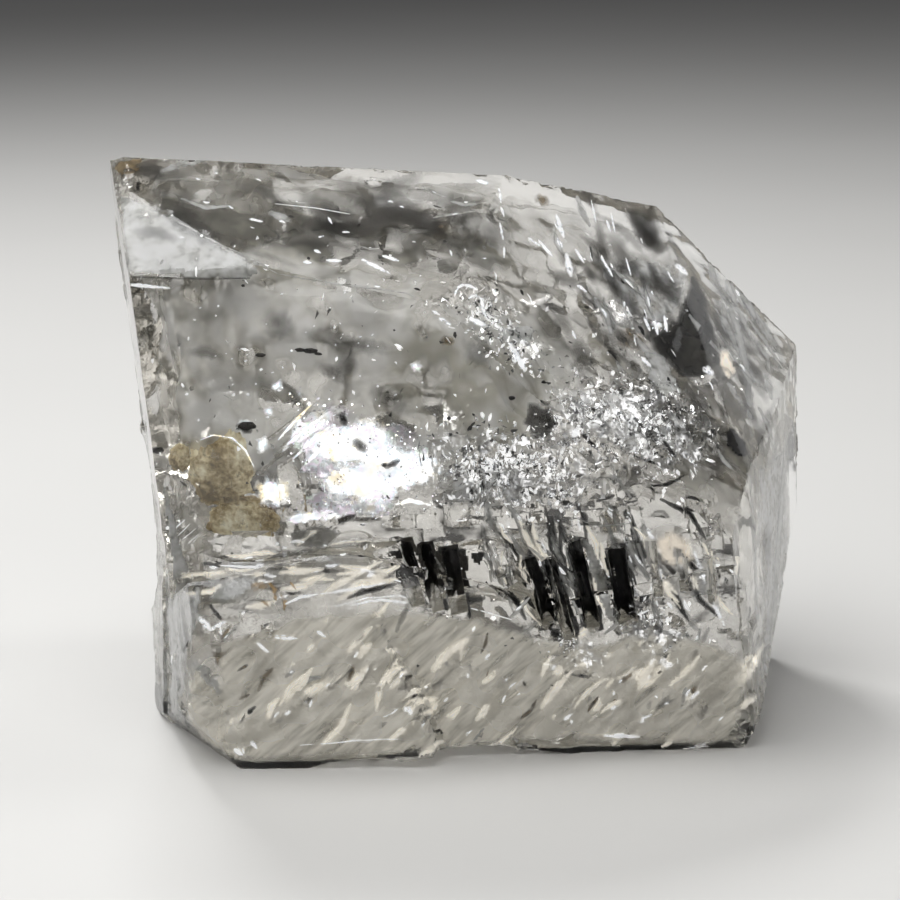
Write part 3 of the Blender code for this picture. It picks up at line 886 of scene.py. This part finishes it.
# These marks are painted shade: near-black sheets in the band's hollows and among the bright strokes.
BLACK_PAINTED_SHADE_MARKS = [
    Area("band", 0.45, 2, ((383, 553), (402, 548), (467, 548), (471, 570), (457, 578), (465, 606),
                           (440, 612), (412, 603), (395, 578))),
    Area("band", 0.45, 2, ((469, 551), (487, 551), (482, 567), (474, 564))),
    Area("band", 0.45, 2, ((532, 567), (556, 571), (573, 600), (563, 640), (552, 646), (545, 615),
                           (535, 592))),
    Area("band", 0.45, 2, ((601, 569), (616, 567), (628, 602), (630, 613), (616, 622), (608, 596))),
    Area("upper", 0.4, 2, ((724, 430), (733, 426), (748, 445), (747, 459), (736, 456), (724, 442))),
    Streak("band", 0.45, 9, ((571, 558), (584, 585), (597, 618))),
    Streak("band", 0.45, 7, ((557, 515), (563, 532), (570, 552))),
    Streak("band", 0.45, 6, ((526, 543), (538, 560), (546, 571))),
    Streak("band", 0.45, 5, ((520, 592), (537, 613))), Streak("band", 0.45, 8, ((593, 535), (600, 552), (607, 567))),
    Streak("band", 0.45, 8, ((624, 578), (632, 582))), Streak("band", 0.45, 8, ((455, 603), (485, 598))),
    Streak("front", 0.4, 8, ((600, 474), (616, 483))), Streak("front", 0.4, 4, ((637, 459), (655, 466), (663, 470))),
    Streak("front", 0.4, 4, ((650, 489), (668, 486), (683, 477))), Streak("front", 0.4, 6, ((595, 501), (613, 496))),
    Streak("front", 0.3, 4, ((580, 434), (597, 450))), Streak("front", 0.4, 4, ((684, 498), (700, 502))),
    Streak("foot", 0.35, 7, ((347, 599), (370, 590), (397, 584))),
    Streak("foot", 0.35, 5, ((209, 605), (222, 620))), Streak("left", 0.4, 4, ((183, 709), (187, 725))),
    Streak("foot", 0.35, 5, ((248, 714), (256, 706))), Streak("foot", 0.35, 5, ((565, 672), (590, 676))),
    Streak("band", 0.4, 6, ((660, 500), (690, 515), (706, 540))),
    Streak("upper", 0.4, 4, ((664, 440), (674, 455))), Streak("front", 0.4, 4, ((540, 385), (550, 384))),
]
BROWN_MARKS = [
    Area("foot", 0.5, 4, ((210, 651), (241, 644), (245, 660), (239, 683), (228, 681), (215, 665))),
    Area("triangle", 0.3, 3, ((116, 160), (146, 156), (138, 173), (126, 185), (114, 168))),
    Streak("foot", 0.5, 13, ((262, 650), (267, 672), (262, 692))),
    Streak("foot", 0.5, 8, ((320, 677), (335, 668), (350, 665))),
    Streak("foot", 0.5, 14, ((236, 647), (250, 640), (264, 634))),
    Streak("upper", 0.6, 13, ((534, 197), (550, 203))), Streak("bevel", 0.6, 11, ((726, 391), (742, 399))),
    Streak("upper", 0.8, 24, ((610, 335), (650, 345))), Streak("band", 0.3, 6, ((610, 618), (628, 611))),
    Streak("front", 0.5, 12, ((440, 340), (455, 342))), Streak("roof", 0.8, 24, ((430, 225), (450, 235))),
]
AMBER_MARKS = [
    Streak("foot", 0.3, 7, ((252, 590), (260, 586), (268, 588))),
    Streak("foot", 0.3, 6, ((268, 582), (274, 590), (276, 600))),
    Streak("foot", 0.3, 5, ((280, 592), (285, 600), (284, 610))),
    Streak("foot", 0.3, 4, ((262, 600), (269, 606))), Streak("foot", 0.3, 3, ((290, 582), (296, 590))),
]
FOOT_CLOUDS = [
    Area("foot", 0.35, 14, ((215, 640), (300, 612), (400, 606), (470, 612), (540, 634), (590, 640),
                           (650, 630), (720, 640), (752, 660), (742, 748), (520, 742), (440, 755),
                           (236, 765), (212, 740))),
    Area("foot", 0.35, 6, ((192, 660), (226, 700), (236, 760), (205, 745), (186, 720))),
]
CLOUD_MARKS = [
    Area("upper", 0.7, 9, ((600, 265), (640, 252), (688, 268), (685, 300), (672, 320), (655, 331),
                           (640, 321), (615, 313), (605, 290))),
    Area("front", 1.2, 14, ((430, 470), (480, 455), (560, 462), (580, 490), (520, 515), (440, 510))),
    Area("front", 1.2, 14, ((555, 400), (620, 388), (690, 420), (690, 460), (620, 462), (570, 440))),
    Area("foot", 0.9, 14, ((200, 560), (300, 545), (390, 560), (380, 590), (300, 592), (210, 610))),
    Area("side", 0.9, 10, ((752, 470), (790, 440), (792, 560), (775, 690), (758, 700))),
]


def through(face, px, py, depth):
    """The point seen at a pixel at a depth under one of the main faces, or a little deeper.
    None where that is outside the stone."""
    seen = sight(px, py)
    if seen is None:
        return None
    inward = bent(line_of_sight(px, py), outward(*FACES[face]))
    for share in (1, 0.6, 0.35, 1.6, 2.2):
        place = seen.place + inward * (depth * share)
        if sealed(place, 0.08):
            return place
    return None


def rim_distance(px, py, outline):
    """How far a pixel lies inside an outline, negative outside."""
    within, nearest = False, 1e9
    for (ax, ay), (bx, by) in zip(outline, outline[1:] + outline[:1]):
        if (ay > py) != (by > py) and px < (bx - ax) * (py - ay) / (by - ay) + ax:
            within = not within
        run = Vector((bx - ax, by - ay))
        off = Vector((px - ax, py - ay))
        along = min(1.0, max(0.0, off.dot(run) / run.length_squared))
        nearest = min(nearest, (off - run * along).length)
    return nearest if within else -nearest


def add_area(bm, layer, area):
    """Adds a sheet with the outline of an area."""
    wide = [p[0] for p in area.outline]
    high = [p[1] for p in area.outline]
    left, right, top, bottom = min(wide), max(wide), min(high), max(high)
    cells = max(8, int((right - left) / 2.5)), max(8, int((bottom - top) / 2.5))
    made = bmesh.ops.create_grid(bm, x_segments=min(cells[0], 90), y_segments=min(cells[1], 90),
                                 size=0.5)["verts"]
    loose = []
    for v in made:
        px = left + (v.co.x + 0.5) * (right - left)
        py = top + (0.5 - v.co.y) * (bottom - top)
        wander = 2.2 * noise.noise(Vector((px, py, 0)) * 0.12)
        gap = rim_distance(px, py, area.outline) + wander
        v[layer] = float(soft_step(gap, 0, area.soft))
        ripple = 0.12 * noise.noise(Vector((px, py, 5)) * 0.06)
        place = through(area.face, px, py, area.depth + ripple) if gap > 0 else None
        if place is None:
            loose.append(v)
        else:
            v.co = place
    bmesh.ops.delete(bm, geom=loose, context="VERTS")


def add_streak(bm, layer, streak):
    """Adds a narrow sheet along a streak, thin at both ends."""
    path = [Vector(p) for p in streak.path]
    runs = [(b - a).length for a, b in zip(path, path[1:])]
    whole = sum(runs)
    made = bmesh.ops.create_grid(bm, x_segments=max(5, int(whole / 3)), y_segments=4,
                                 size=0.5)["verts"]
    loose = []
    for v in made:
        share, side = v.co.x + 0.5, v.co.y * 2
        left, index = share * whole, 0
        while index < len(runs) - 1 and left > runs[index]:
            left -= runs[index]
            index += 1
        run = (path[index + 1] - path[index]).normalized()
        wide = streak.width / 2 * math.sin(math.pi * (0.06 + 0.88 * share)) ** 0.6
        uneven = 1 + 0.5 * noise.noise(Vector((left, index * 9.0, side)) * 0.2)
        spot = path[index] + run * left + Vector((-run.y, run.x)) * side * wide * uneven
        rim = min(1.0, streak.width / 14)
        v[layer] = (1 - side * side * (0.6 + 0.4 * rim)) * (
            1 - rim * (1 - math.sin(math.pi * share)))
        place = through(streak.face, spot.x, spot.y, streak.depth)
        if place is None:
            loose.append(v)
        else:
            v.co = place
    bmesh.ops.delete(bm, geom=loose, context="VERTS")


def marks_piece(name, marks, finish, thickness=0.015):
    """One piece of all the marks of a kind."""
    bm = bmesh.new()
    layer = bm.verts.layers.float.new("cover")
    for mark in marks:
        (add_area if isinstance(mark, Area) else add_streak)(bm, layer, mark)
    torn = [f for f in bm.faces if max(e.calc_length() for e in f.edges) > 0.9]
    bmesh.ops.delete(bm, geom=torn, context="FACES")
    stray = [v for v in bm.verts if not v.link_faces]
    bmesh.ops.delete(bm, geom=stray, context="VERTS")
    return piece_of(name, thickened(bm, thickness), finish, smooth=180)


# A brush scatters short streaks: its kind of mark, face, depth in millimetres, chain, angle
# in degrees anticlockwise from level, length and width in pixels, and number.
Brush = namedtuple("Brush", "kind face depth chain angle length width count")
FOOT = Chain(52, ((240, 690), (400, 680), (560, 690), (720, 690)))
BAND = Chain(44, ((500, 560), (600, 570), (700, 580)))
UPPER = Chain(80, ((570, 220), (640, 320), (690, 420)))
ROOF = Chain(48, ((170, 190), (320, 220), (470, 230)))
BEVEL = Chain(28, ((715, 280), (760, 360), (755, 430)))
LEDGE = Chain(24, ((205, 590), (300, 560), (390, 570)))
FRONT = Chain(80, ((220, 350), (400, 370)))
# Of the kinds, bright strokes are painted glints, cream strokes are cream haze with painted highlights, pale strokes
# are pale haze with painted sheen, smoke and dark strokes are painted shade, and brown strokes are stains.
BRUSHES = [
    Brush("cream", "foot", 0.3, FOOT, 48, 44, 8, 130), Brush("pale", "foot", 0.35, FOOT, 52, 40, 5, 60),
    Brush("smoke", "foot", 0.34, FOOT, 48, 44, 9, 90), Brush("brown", "foot", 0.28, FOOT, 48, 26, 6, 26),
    Brush("bright", "foot", 0.25, FOOT, 46, 9, 2.5, 44), Brush("dark", "foot", 0.32, FOOT, 50, 10, 2, 10),
    Brush("pale", "band", 0.35, BAND, -64, 60, 7, 40), Brush("cream", "band", 0.35, BAND, -64, 50, 6, 22),
    Brush("dark", "band", 0.45, BAND, -64, 52, 6, 26), Brush("bright", "band", 0.35, BAND, -60, 12, 3, 30),
    Brush("bright", "upper", 0.35, UPPER, -66, 11, 2.2, 34), Brush("smoke", "upper", 0.5, UPPER, -62, 60, 18, 64),
    Brush("pale", "upper", 0.5, UPPER, -62, 40, 6, 18), Brush("dark", "upper", 0.5, UPPER, -66, 14, 3, 10),
    Brush("bright", "roof", 0.3, ROOF, -12, 6, 1.6, 20), Brush("smoke", "roof", 0.6, ROOF, -12, 80, 26, 30),
    Brush("dark", "roof", 0.5, ROOF, -10, 9, 2.5, 4), Brush("pale", "roof", 0.4, ROOF, -14, 44, 4, 6),
    Brush("pale", "bevel", 0.4, BEVEL, -58, 60, 7, 16), Brush("smoke", "bevel", 0.5, BEVEL, -60, 50, 10, 22),
    Brush("cream", "foot", 0.3, LEDGE, 8, 50, 7, 26), Brush("smoke", "foot", 0.45, LEDGE, 4, 44, 6, 30),
    Brush("bright", "foot", 0.3, LEDGE, 8, 13, 3, 26), Brush("dark", "foot", 0.4, LEDGE, 4, 18, 3, 12),
    Brush("bright", "front", 0.3, FRONT, 20, 3, 2, 50), Brush("smoke", "front", 0.9, FRONT, -20, 60, 30, 6),
]


def spot_in(chain, rng):
    """A random pixel near a chain."""
    runs = [math.dist(a, b) for a, b in zip(chain.places, chain.places[1:])]
    index = rng.choices(range(len(runs)), runs)[0]
    a, b = chain.places[index], chain.places[index + 1]
    t = rng.random()
    return (a[0] + (b[0] - a[0]) * t + rng.gauss(0, chain.reach * 0.5),
            a[1] + (b[1] - a[1]) * t + rng.gauss(0, chain.reach * 0.5))


def brushed(kind):
    """The streaks that the brushes scatter for one kind of mark."""
    rng = random.Random(len(kind) * 7 + ord(kind[0]))
    made = []
    for brush in BRUSHES:
        if brush.kind != kind:
            continue
        for _ in range(brush.count):
            px, py = spot_in(brush.chain, rng)
            angle = math.radians(brush.angle + rng.gauss(0, 12))
            reach = brush.length * rng.uniform(0.4, 1.2) / 2
            across, down = math.cos(angle) * reach, -math.sin(angle) * reach
            bow = rng.uniform(-0.25, 0.25)
            path = ((px - across, py - down), (px - down * bow, py + across * bow),
                    (px + across, py + down))
            made.append(Streak(brush.face, brush.depth + rng.uniform(0, 0.2),
                               brush.width * rng.uniform(0.5, 1.3), path))
    return made


def root_cloud(finish):
    """The pale, clouded foot of the stone: one level sheet just above its base."""
    bm = bmesh.new()
    sheet(bm, Vector((0.5, 0.5, 0.3)), Vector((1, 0, 0)), Vector((0, 1, 0)), 19, 13, 0.05, 90,
          0.45, 0.12)
    return piece_of("root_cloud", thickened(bm, 0.03), finish, smooth=180)


def painted_shade_lining(finish):
    """The dark skin behind the walls of the slots, a little inside the stone around them: painted
    shade that darkens the hollows.
    """
    bm = solid_in_mm()
    bm.normal_update()
    planes = [(outward(azimuth, elevation), reach) for azimuth, elevation, reach in PHANTOM_FACES]
    outer = []
    for f in bm.faces:
        middle = f.calc_center_median()
        cover = min(reach - (middle - MIDDLE).dot(look) for look, reach in planes)
        paler = middle.x > 9.6 or 0.9 < middle.x < 3.6
        if cover < 0.7 or middle.y > 1 or middle.z < 5.5 or f.normal.y > 0.3 or paler:
            outer.append(f)
    bmesh.ops.delete(bm, geom=outer, context="FACES")
    bmesh.ops.triangulate(bm, faces=bm.faces[:])
    for _ in range(2):
        bmesh.ops.subdivide_edges(
            bm, edges=[e for e in bm.edges if e.calc_length() > 0.8], cuts=1)
    bmesh.ops.triangulate(bm, faces=bm.faces[:])
    bm.normal_update()
    layer = bm.verts.layers.float.new("cover")
    for v in bm.verts:
        v[layer] = 1.0
        v.co -= v.normal * 0.28
    loose = [v for v in bm.verts if not sealed(v.co, 0.1)]
    bmesh.ops.delete(bm, geom=loose, context="VERTS")
    stray = [v for v in bm.verts if not v.link_faces]
    bmesh.ops.delete(bm, geom=stray, context="VERTS")
    return piece_of("painted_shade_lining", thickened(bm, 0.02), finish, smooth=40)


class QUARTZ_OT_veils(bpy.types.Operator):
    """Makes the clouds and stains under the faces, and the sheets there that paint flashes,
    glints, sheen and shade, the dark lining of the hollows among them
    """

    bl_idname = "quartz.veils"
    bl_label = "Veils and stains"

    def execute(self, context):
        # Painted glints and highlights, shining by emission.
        marks_piece("painted_glint_marks", PAINTED_GLINT_MARKS + brushed("bright"), veil_finish(
            "painted_glint_mark", (1, 1, 1), (0.9, 0.94, 1.0), 1.0, 3.0, 0.42, 0.56, painted_glow=0.45))
        # Pale haze with painted highlights and sheen.
        marks_piece("haze_and_painted_sheen_marks", HAZE_AND_PAINTED_SHEEN_MARKS + brushed("pale"), veil_finish(
            "haze_and_painted_sheen_mark", (0.93, 0.93, 0.91), (0.6, 0.6, 0.56), 0.8, 1.2, 0.3, 0.6))
        # Beige tone with a painted highlight from emission.
        marks_piece("beige_marks", BEIGE_MARKS, veil_finish(
            "beige_mark", (1.0, 0.92, 0.80), (0.8, 0.72, 0.6), 0.9, 1.6, 0.25, 0.6, painted_glow=0.4))
        # Painted shade.
        marks_piece("grey_painted_shade_marks", GREY_PAINTED_SHADE_MARKS + brushed("smoke"), veil_finish(
            "grey_painted_shade_mark", (0.15, 0.14, 0.12), (0.06, 0.058, 0.05), 0.6, 0.5, 0.22, 0.85))
        # Painted shade behind the walls of the slots.
        painted_shade_lining(veil_finish(
            "painted_shade_lining", (0.05, 0.046, 0.038), (0.012, 0.011, 0.010), 1.0, 0.9, 0.16, 0.36))
        # Painted shade.
        marks_piece("black_painted_shade_marks", BLACK_PAINTED_SHADE_MARKS + brushed("dark"), veil_finish(
            "black_painted_shade_mark", (0.015, 0.013, 0.011), (0.006, 0.006, 0.006), 1.0, 0.8, 0.0, 0.3))
        # Painted shade in the hollows.
        marks_piece("painted_shade_window_marks", PAINTED_SHADE_WINDOW_MARKS, veil_finish(
            "painted_shade_window_mark", (0.05, 0.047, 0.04), (0.02, 0.019, 0.017), 0.85, 0.8, 0.0, 0.4))
        # Painted highlights of the fractures.
        marks_piece("painted_flash_marks", PAINTED_FLASH_MARKS, painted_flash_finish())
        marks_piece("brown_marks", BROWN_MARKS + brushed("brown"), veil_finish(
            "brown_mark", (0.34, 0.25, 0.13), (0.18, 0.13, 0.07), 0.75, 1.2, 0.3, 0.6))
        # Amber stain of its own; its faint emission is painted light.
        marks_piece("amber_marks", AMBER_MARKS, veil_finish(
            "amber_mark", (0.72, 0.50, 0.24), (0.45, 0.31, 0.15), 0.8, 2.4, 0.35, 0.65, painted_glow=0.08))
        marks_piece("cloud_marks", CLOUD_MARKS, veil_finish(
            "cloud_mark", (0.97, 0.97, 0.96), (0.7, 0.68, 0.62), 0.85, 1.1, 0.42, 0.68))
        # Cream haze with painted highlights, shining by emission.
        marks_piece("cream_and_painted_highlight_marks", brushed("cream"), veil_finish(
            "cream_and_painted_highlight_mark", (1.0, 0.96, 0.87), (0.85, 0.79, 0.66), 0.95, 1.4, 0.3, 0.5, painted_glow=0.36))
        # Pale frosted cloud of the foot; its emission is painted light.
        marks_piece("foot_clouds", FOOT_CLOUDS, veil_finish(
            "foot_cloud", (0.99, 0.95, 0.85), (0.34, 0.31, 0.23), 0.9, 0.5, 0.42, 0.56, painted_glow=0.16,
            turn=(0, 45, 0), stretch=(3, 1, 0.6)))
        root_cloud(veil_finish(
            "root_cloud", (0.95, 0.93, 0.86), (0.7, 0.67, 0.58), 0.95, 0.8, 0.25, 0.45))
        return {"FINISHED"}


KEY_PLACE = Vector((-75, -60, 235))


def mirroring(seen, place, rng, spread):
    """The turn of a chip that sends the key light on to the eye, give or take the spread."""
    to_light = -bent((place - KEY_PLACE).normalized(), seen.normal)
    look = (to_light - seen.inward).normalized()
    tilt = Vector([rng.gauss(0, spread) for _ in range(3)])
    return (look + tilt).normalized().to_track_quat("Z", "Y").to_matrix().to_4x4()


# Pearly fractures: the pixel at the middle, half sizes in pixels, depth in millimetres, and
# how many small chips flash around it.
Flash = namedtuple("Flash", "px py half_wide half_high depth chips")
FLASHES = [
    Flash(368, 466, 62, 40, 1.5, 420), Flash(330, 440, 46, 48, 1.4, 160),
    Flash(400, 455, 40, 30, 1.6, 120), Flash(350, 505, 60, 18, 1.2, 80),
    Flash(656, 325, 12, 8, 0.6, 20), Flash(708, 372, 8, 7, 0.6, 12),
]


class QUARTZ_OT_rainbow(bpy.types.Operator):
    """Makes the pearly fractures that flash white in the left of the stone"""

    bl_idname = "quartz.rainbow"
    bl_label = "Pearly fractures"

    def execute(self, context):
        rng = random.Random(8)
        films, chips = bmesh.new(), bmesh.new()
        mm_each = 2 * HALF_VIEW * CAMERA_DISTANCE / FRAME_SIDE
        for index, flash in enumerate(FLASHES):
            seen = sight(flash.px, flash.py)
            middle = seen.place + seen.inward * flash.depth
            turn = mirroring(seen, middle, rng, 0.02)
            across, up = turn.col[0].to_3d(), turn.col[1].to_3d()
            sheet(films, middle, across, up, flash.half_wide * mm_each, flash.half_high * mm_each,
                  0.12, 30 + index, 0.15)
            for _ in range(flash.chips):
                spot = sight(flash.px + rng.gauss(0, flash.half_wide * 0.55),
                             flash.py + rng.gauss(0, flash.half_high * 0.55))
                depth = rng.uniform(0.3, flash.depth)
                if spot is None:
                    continue
                place = spot.place + spot.inward * depth
                if sealed(place, 0.3):
                    flake(chips, place, mirroring(spot, place, rng, 0.11),
                          rng.choice((0.02, 0.03, 0.04, 0.06)), rng, 5, 0.6)
        finish = Finish("pearly_fracture", Metallic=0.9, Roughness=0.35)
        drift = finish.noise(1.3, 3, 0.65)
        finish.feed("Base Color", finish.ramp(
            finish.noise(0.9, 2), (0.3, (0.98, 0.92, 0.75)), (0.42, (0.97, 0.97, 0.95)),
            (0.5, (0.90, 0.95, 1.0)), (0.58, (0.96, 0.86, 0.97)), (0.68, (0.86, 0.97, 0.88))))
        share = finish.attribute("cover")
        finish.feed("Alpha", finish.between(
            drift * 0.4 + finish.noise(5, 2) * 0.6 + share * 0.25, 0.52, 0.66) * share)
        finish.bump(finish.noise(2.2, 3, 0.7), 0.5, 0.12)
        piece_of("pearly_fractures", thickened(films, 0.015), finish.material, smooth=180)
        finish = Finish("pearly_chips", Metallic=1.0, Roughness=0.15)
        finish.feed("Base Color", finish.ramp(
            finish.noise(2.5, 2), (0.35, (0.98, 0.93, 0.80)), (0.45, (0.97, 0.97, 0.96)),
            (0.55, (0.88, 0.94, 1.0)), (0.62, (0.97, 0.88, 0.97))))
        piece_of("pearly_chips", thickened(chips, 0.012), finish.material)
        return {"FINISHED"}


class QUARTZ_OT_clay(bpy.types.Operator):
    """Makes the rounded lump of brown clay near the left side"""

    bl_idname = "quartz.clay"
    bl_label = "Clay"

    def execute(self, context):
        bm = bmesh.new()
        lumps = [(221, 470, 1.9, 32, 35), (243, 518, 1.8, 34, 24), (180, 460, 1.5, 10, 12)]
        for index, (px, py, depth, wide, high) in enumerate(lumps):
            middle = inside(px, py, depth)
            made = bmesh.ops.create_icosphere(bm, subdivisions=5, radius=1)["verts"]
            for v in made:
                rough = 1 + 0.24 * noise.fractal(v.co * 1.7 + Vector((index * 5, 1, 2)), 0.8, 2.2, 5)
                v.co = Vector((v.co.x * wide * 0.05, v.co.y * 0.9, v.co.z * high * 0.05)) * rough
                v.co += middle
                near, normal, _, gap = STONE.find_nearest(v.co)
                if (v.co - near).dot(normal) > 0 or gap < 0.25:
                    v.co = near - normal * 0.25
        finish = Finish("brown_clay", Roughness=0.85)
        tone = finish.noise(0.7, 5, 0.6) * 0.7 + finish.noise(4, 3) * 0.3
        colour = finish.ramp(
            tone, (0.40, (0.17, 0.13, 0.07)), (0.48, (0.38, 0.30, 0.17)), (0.55, (0.62, 0.54, 0.35)),
            (0.63, (0.85, 0.80, 0.62)))
        finish.feed("Base Color", colour)
        # The clay's colours are its own; its emission is painted light that brightens it.
        finish.feed("Emission Color", colour)
        finish.shader.inputs["Emission Strength"].default_value = 0.18
        finish.feed("Alpha", finish.between(finish.noise(1.5, 4, 0.7), 0.34, 0.46, 0.35, 1.0))
        finish.bump(finish.noise(5, 3), 0.8, 0.08)
        piece_of("clay_inclusion", bm, finish.material, smooth=180)
        return {"FINISHED"}


DARK_SPECKS = [
    (300, 350, 5, 2), (310, 351, 8, 2.5), (318, 354, 4, 1.5), (260, 355, 5, 2), (158, 450, 7, 3),
    (384, 465, 3, 2), (247, 426, 9, 4), (512, 398, 3, 2),
]
RODS = [((274, 456), (338, 411)), ((286, 462), (330, 428)), ((262, 470), (318, 420)),
        ((300, 452), (345, 420)), ((268, 440), (300, 415))]


class QUARTZ_OT_specks(bpy.types.Operator):
    """Makes the dark specks and the fine rods beside the clay"""

    bl_idname = "quartz.specks"
    bl_label = "Specks and rods"

    def execute(self, context):
        rng = random.Random(12)
        bm = bmesh.new()
        for px, py, wide, high in DARK_SPECKS:
            middle = inside(px, py, 0.6)
            made = bmesh.ops.create_icosphere(bm, subdivisions=2, radius=0.052)["verts"]
            for v in made:
                v.co *= rng.uniform(0.8, 1.2)
                v.co = Vector((v.co.x * wide, v.co.y * high, v.co.z * high)) + middle
        piece_of("dark_specks", bm, Finish("dark_mineral", Roughness=0.5).mottle(
            6, (0.012, 0.011, 0.010), (0.06, 0.055, 0.048)))
        bm = bmesh.new()
        for start, end in RODS:
            a, b = inside(*start, 1.6), inside(*end, 1.9)
            run = b - a
            turn = run.to_track_quat("Z", "Y").to_matrix().to_4x4()
            bmesh.ops.create_cone(
                bm, cap_ends=True, segments=6, radius1=0.10, radius2=0.06, depth=run.length,
                matrix=Matrix.Translation((a + b) / 2) @ turn)
        piece_of("fine_rods", bm, Finish("pale_rods", Metallic=0.8, Roughness=0.25).mottle(
            3, (0.6, 0.58, 0.52), (0.88, 0.86, 0.82)))
        return {"FINISHED"}


# The stage

def softbox(name, place, target, size, power, colour=(1, 1, 1)):
    light = bpy.data.lights.new(name, "AREA")
    light.shape = "RECTANGLE"
    light.size, light.size_y = size
    light.energy = power
    light.color = colour
    made = bpy.data.objects.new(name, light)
    made.location = place
    made.rotation_euler = (Vector(target) - Vector(place)).to_track_quat("-Z", "Y").to_euler()
    made.visible_camera = False
    bpy.context.scene.collection.objects.link(made)
    return made


class QUARTZ_OT_stage(bpy.types.Operator):
    """Lays the pale floor and sets the lamps and the camera"""

    bl_idname = "quartz.stage"
    bl_label = "Stage"

    def execute(self, context):
        scene = context.scene
        settings = scene.quartz
        bm = bmesh.new()
        bmesh.ops.create_circle(bm, cap_ends=True, segments=96, radius=settings.floor_reach)
        mesh = bpy.data.meshes.new("floor")
        bm.to_mesh(mesh)
        bm.free()
        floor = bpy.data.objects.new("floor", mesh)
        scene.collection.objects.link(floor)
        floor_tone = Vector(settings.floor_colour)
        mesh.materials.append(Finish("pale_paper", Roughness=0.6).mottle(
            0.02, floor_tone * 0.985, floor_tone))
        world = bpy.data.worlds.new("room")
        world.use_nodes = True
        world.node_tree.nodes["Background"].inputs["Color"].default_value = (
            *settings.room_colour, 1)
        world.node_tree.nodes["Background"].inputs["Strength"].default_value = 1.0
        scene.world = world
        target = (0, 0, 0.014)
        softbox("key", KEY_PLACE * MM, target, (0.22, 0.22), 0.75)
        softbox("back", (-0.06, 0.15, 0.20), target, (0.07, 0.07), 0.35)
        softbox("side", (0.22, 0.02, 0.08), target, (0.05, 0.12), 0.2)
        softbox("bevel", (0.158, 0.142, 0.102), target, (0.08, 0.08), 0.012)
        scene.view_settings.view_transform = "Standard"
        camera = bpy.data.cameras.new("camera")
        camera.lens = LENS
        camera.sensor_width = SENSOR
        camera.clip_start = 0.01
        camera.clip_end = 10
        eye = bpy.data.objects.new("camera", camera)
        scene.collection.objects.link(eye)
        eye.location = CAMERA_PLACE * MM
        eye.rotation_euler = (math.pi / 2 - CAMERA_TILT, 0, 0)
        scene.camera = eye
        scene.cycles.use_light_tree = False
        scene.cycles.transparent_max_bounces = 16
        scene.cycles.caustics_reflective = False
        scene.cycles.max_bounces = 8
        scene.cycles.diffuse_bounces = 2
        scene.cycles.transmission_bounces = 8
        scene.cycles.glossy_bounces = 4
        return {"FINISHED"}


class QuartzSettings(bpy.types.PropertyGroup):
    grain: FloatProperty(name="Grain", description="Width of the surface's faces, mm", default=0.25)
    wear: FloatProperty(name="Wear", description="Depth of the chips along edges, mm", default=0.18)
    crystallite_height: FloatProperty(
        name="Crystallite height", description="Height of the small etched faces, mm", default=0.16)
    glitter_count: IntProperty(
        name="Glitter", description="Number of bright chips under the etched places", default=3600)
    cloud_colour: FloatVectorProperty(
        name="Cloud", description="Pale tone of the clouded layers", subtype="COLOR",
        default=(0.93, 0.92, 0.88))
    cloud_shade: FloatVectorProperty(
        name="Cloud shade", description="Dull tone of the clouded layers", subtype="COLOR",
        default=(0.50, 0.48, 0.40))
    tint: FloatVectorProperty(
        name="Tint", description="Colour of the clear crystal in depth", subtype="COLOR",
        default=(0.78, 0.74, 0.66))
    depth_of_tint: FloatProperty(
        name="Tint density", description="Absorption per metre", default=25.0)
    floor_reach: FloatProperty(
        name="Floor reach", description="Radius of the floor", default=1.2, unit="LENGTH")
    floor_colour: FloatVectorProperty(
        name="Floor colour", description="Colour of the floor", subtype="COLOR",
        default=(0.56, 0.555, 0.54))
    room_colour: FloatVectorProperty(
        name="Room colour", description="Light of the room", subtype="COLOR",
        default=(0.06, 0.06, 0.062))


class QUARTZ_PT_panel(bpy.types.Panel):
    """Buttons for each piece of the stone"""

    bl_idname = "QUARTZ_PT_panel"
    bl_label = "Elestial quartz"
    bl_space_type = "VIEW_3D"
    bl_region_type = "UI"
    bl_category = "Quartz"

    def draw(self, context):
        for operator in OPERATORS:
            self.layout.operator(operator.bl_idname)


OPERATORS = (QUARTZ_OT_crystal, QUARTZ_OT_phantoms, QUARTZ_OT_veils, QUARTZ_OT_glitter,
             QUARTZ_OT_rainbow, QUARTZ_OT_clay, QUARTZ_OT_specks, QUARTZ_OT_stage)
CLASSES = (QuartzSettings, *OPERATORS, QUARTZ_PT_panel)


def register():
    for item in CLASSES:
        bpy.utils.register_class(item)
    bpy.types.Scene.quartz = PointerProperty(type=QuartzSettings)


def unregister():
    del bpy.types.Scene.quartz
    for item in reversed(CLASSES):
        bpy.utils.unregister_class(item)


def main():
    register()
    bpy.ops.quartz.crystal()
    bpy.ops.quartz.phantoms()
    bpy.ops.quartz.veils()
    bpy.ops.quartz.glitter()
    bpy.ops.quartz.rainbow()
    bpy.ops.quartz.clay()
    bpy.ops.quartz.specks()
    bpy.ops.quartz.stage()


if __name__ == "__main__":
    main()
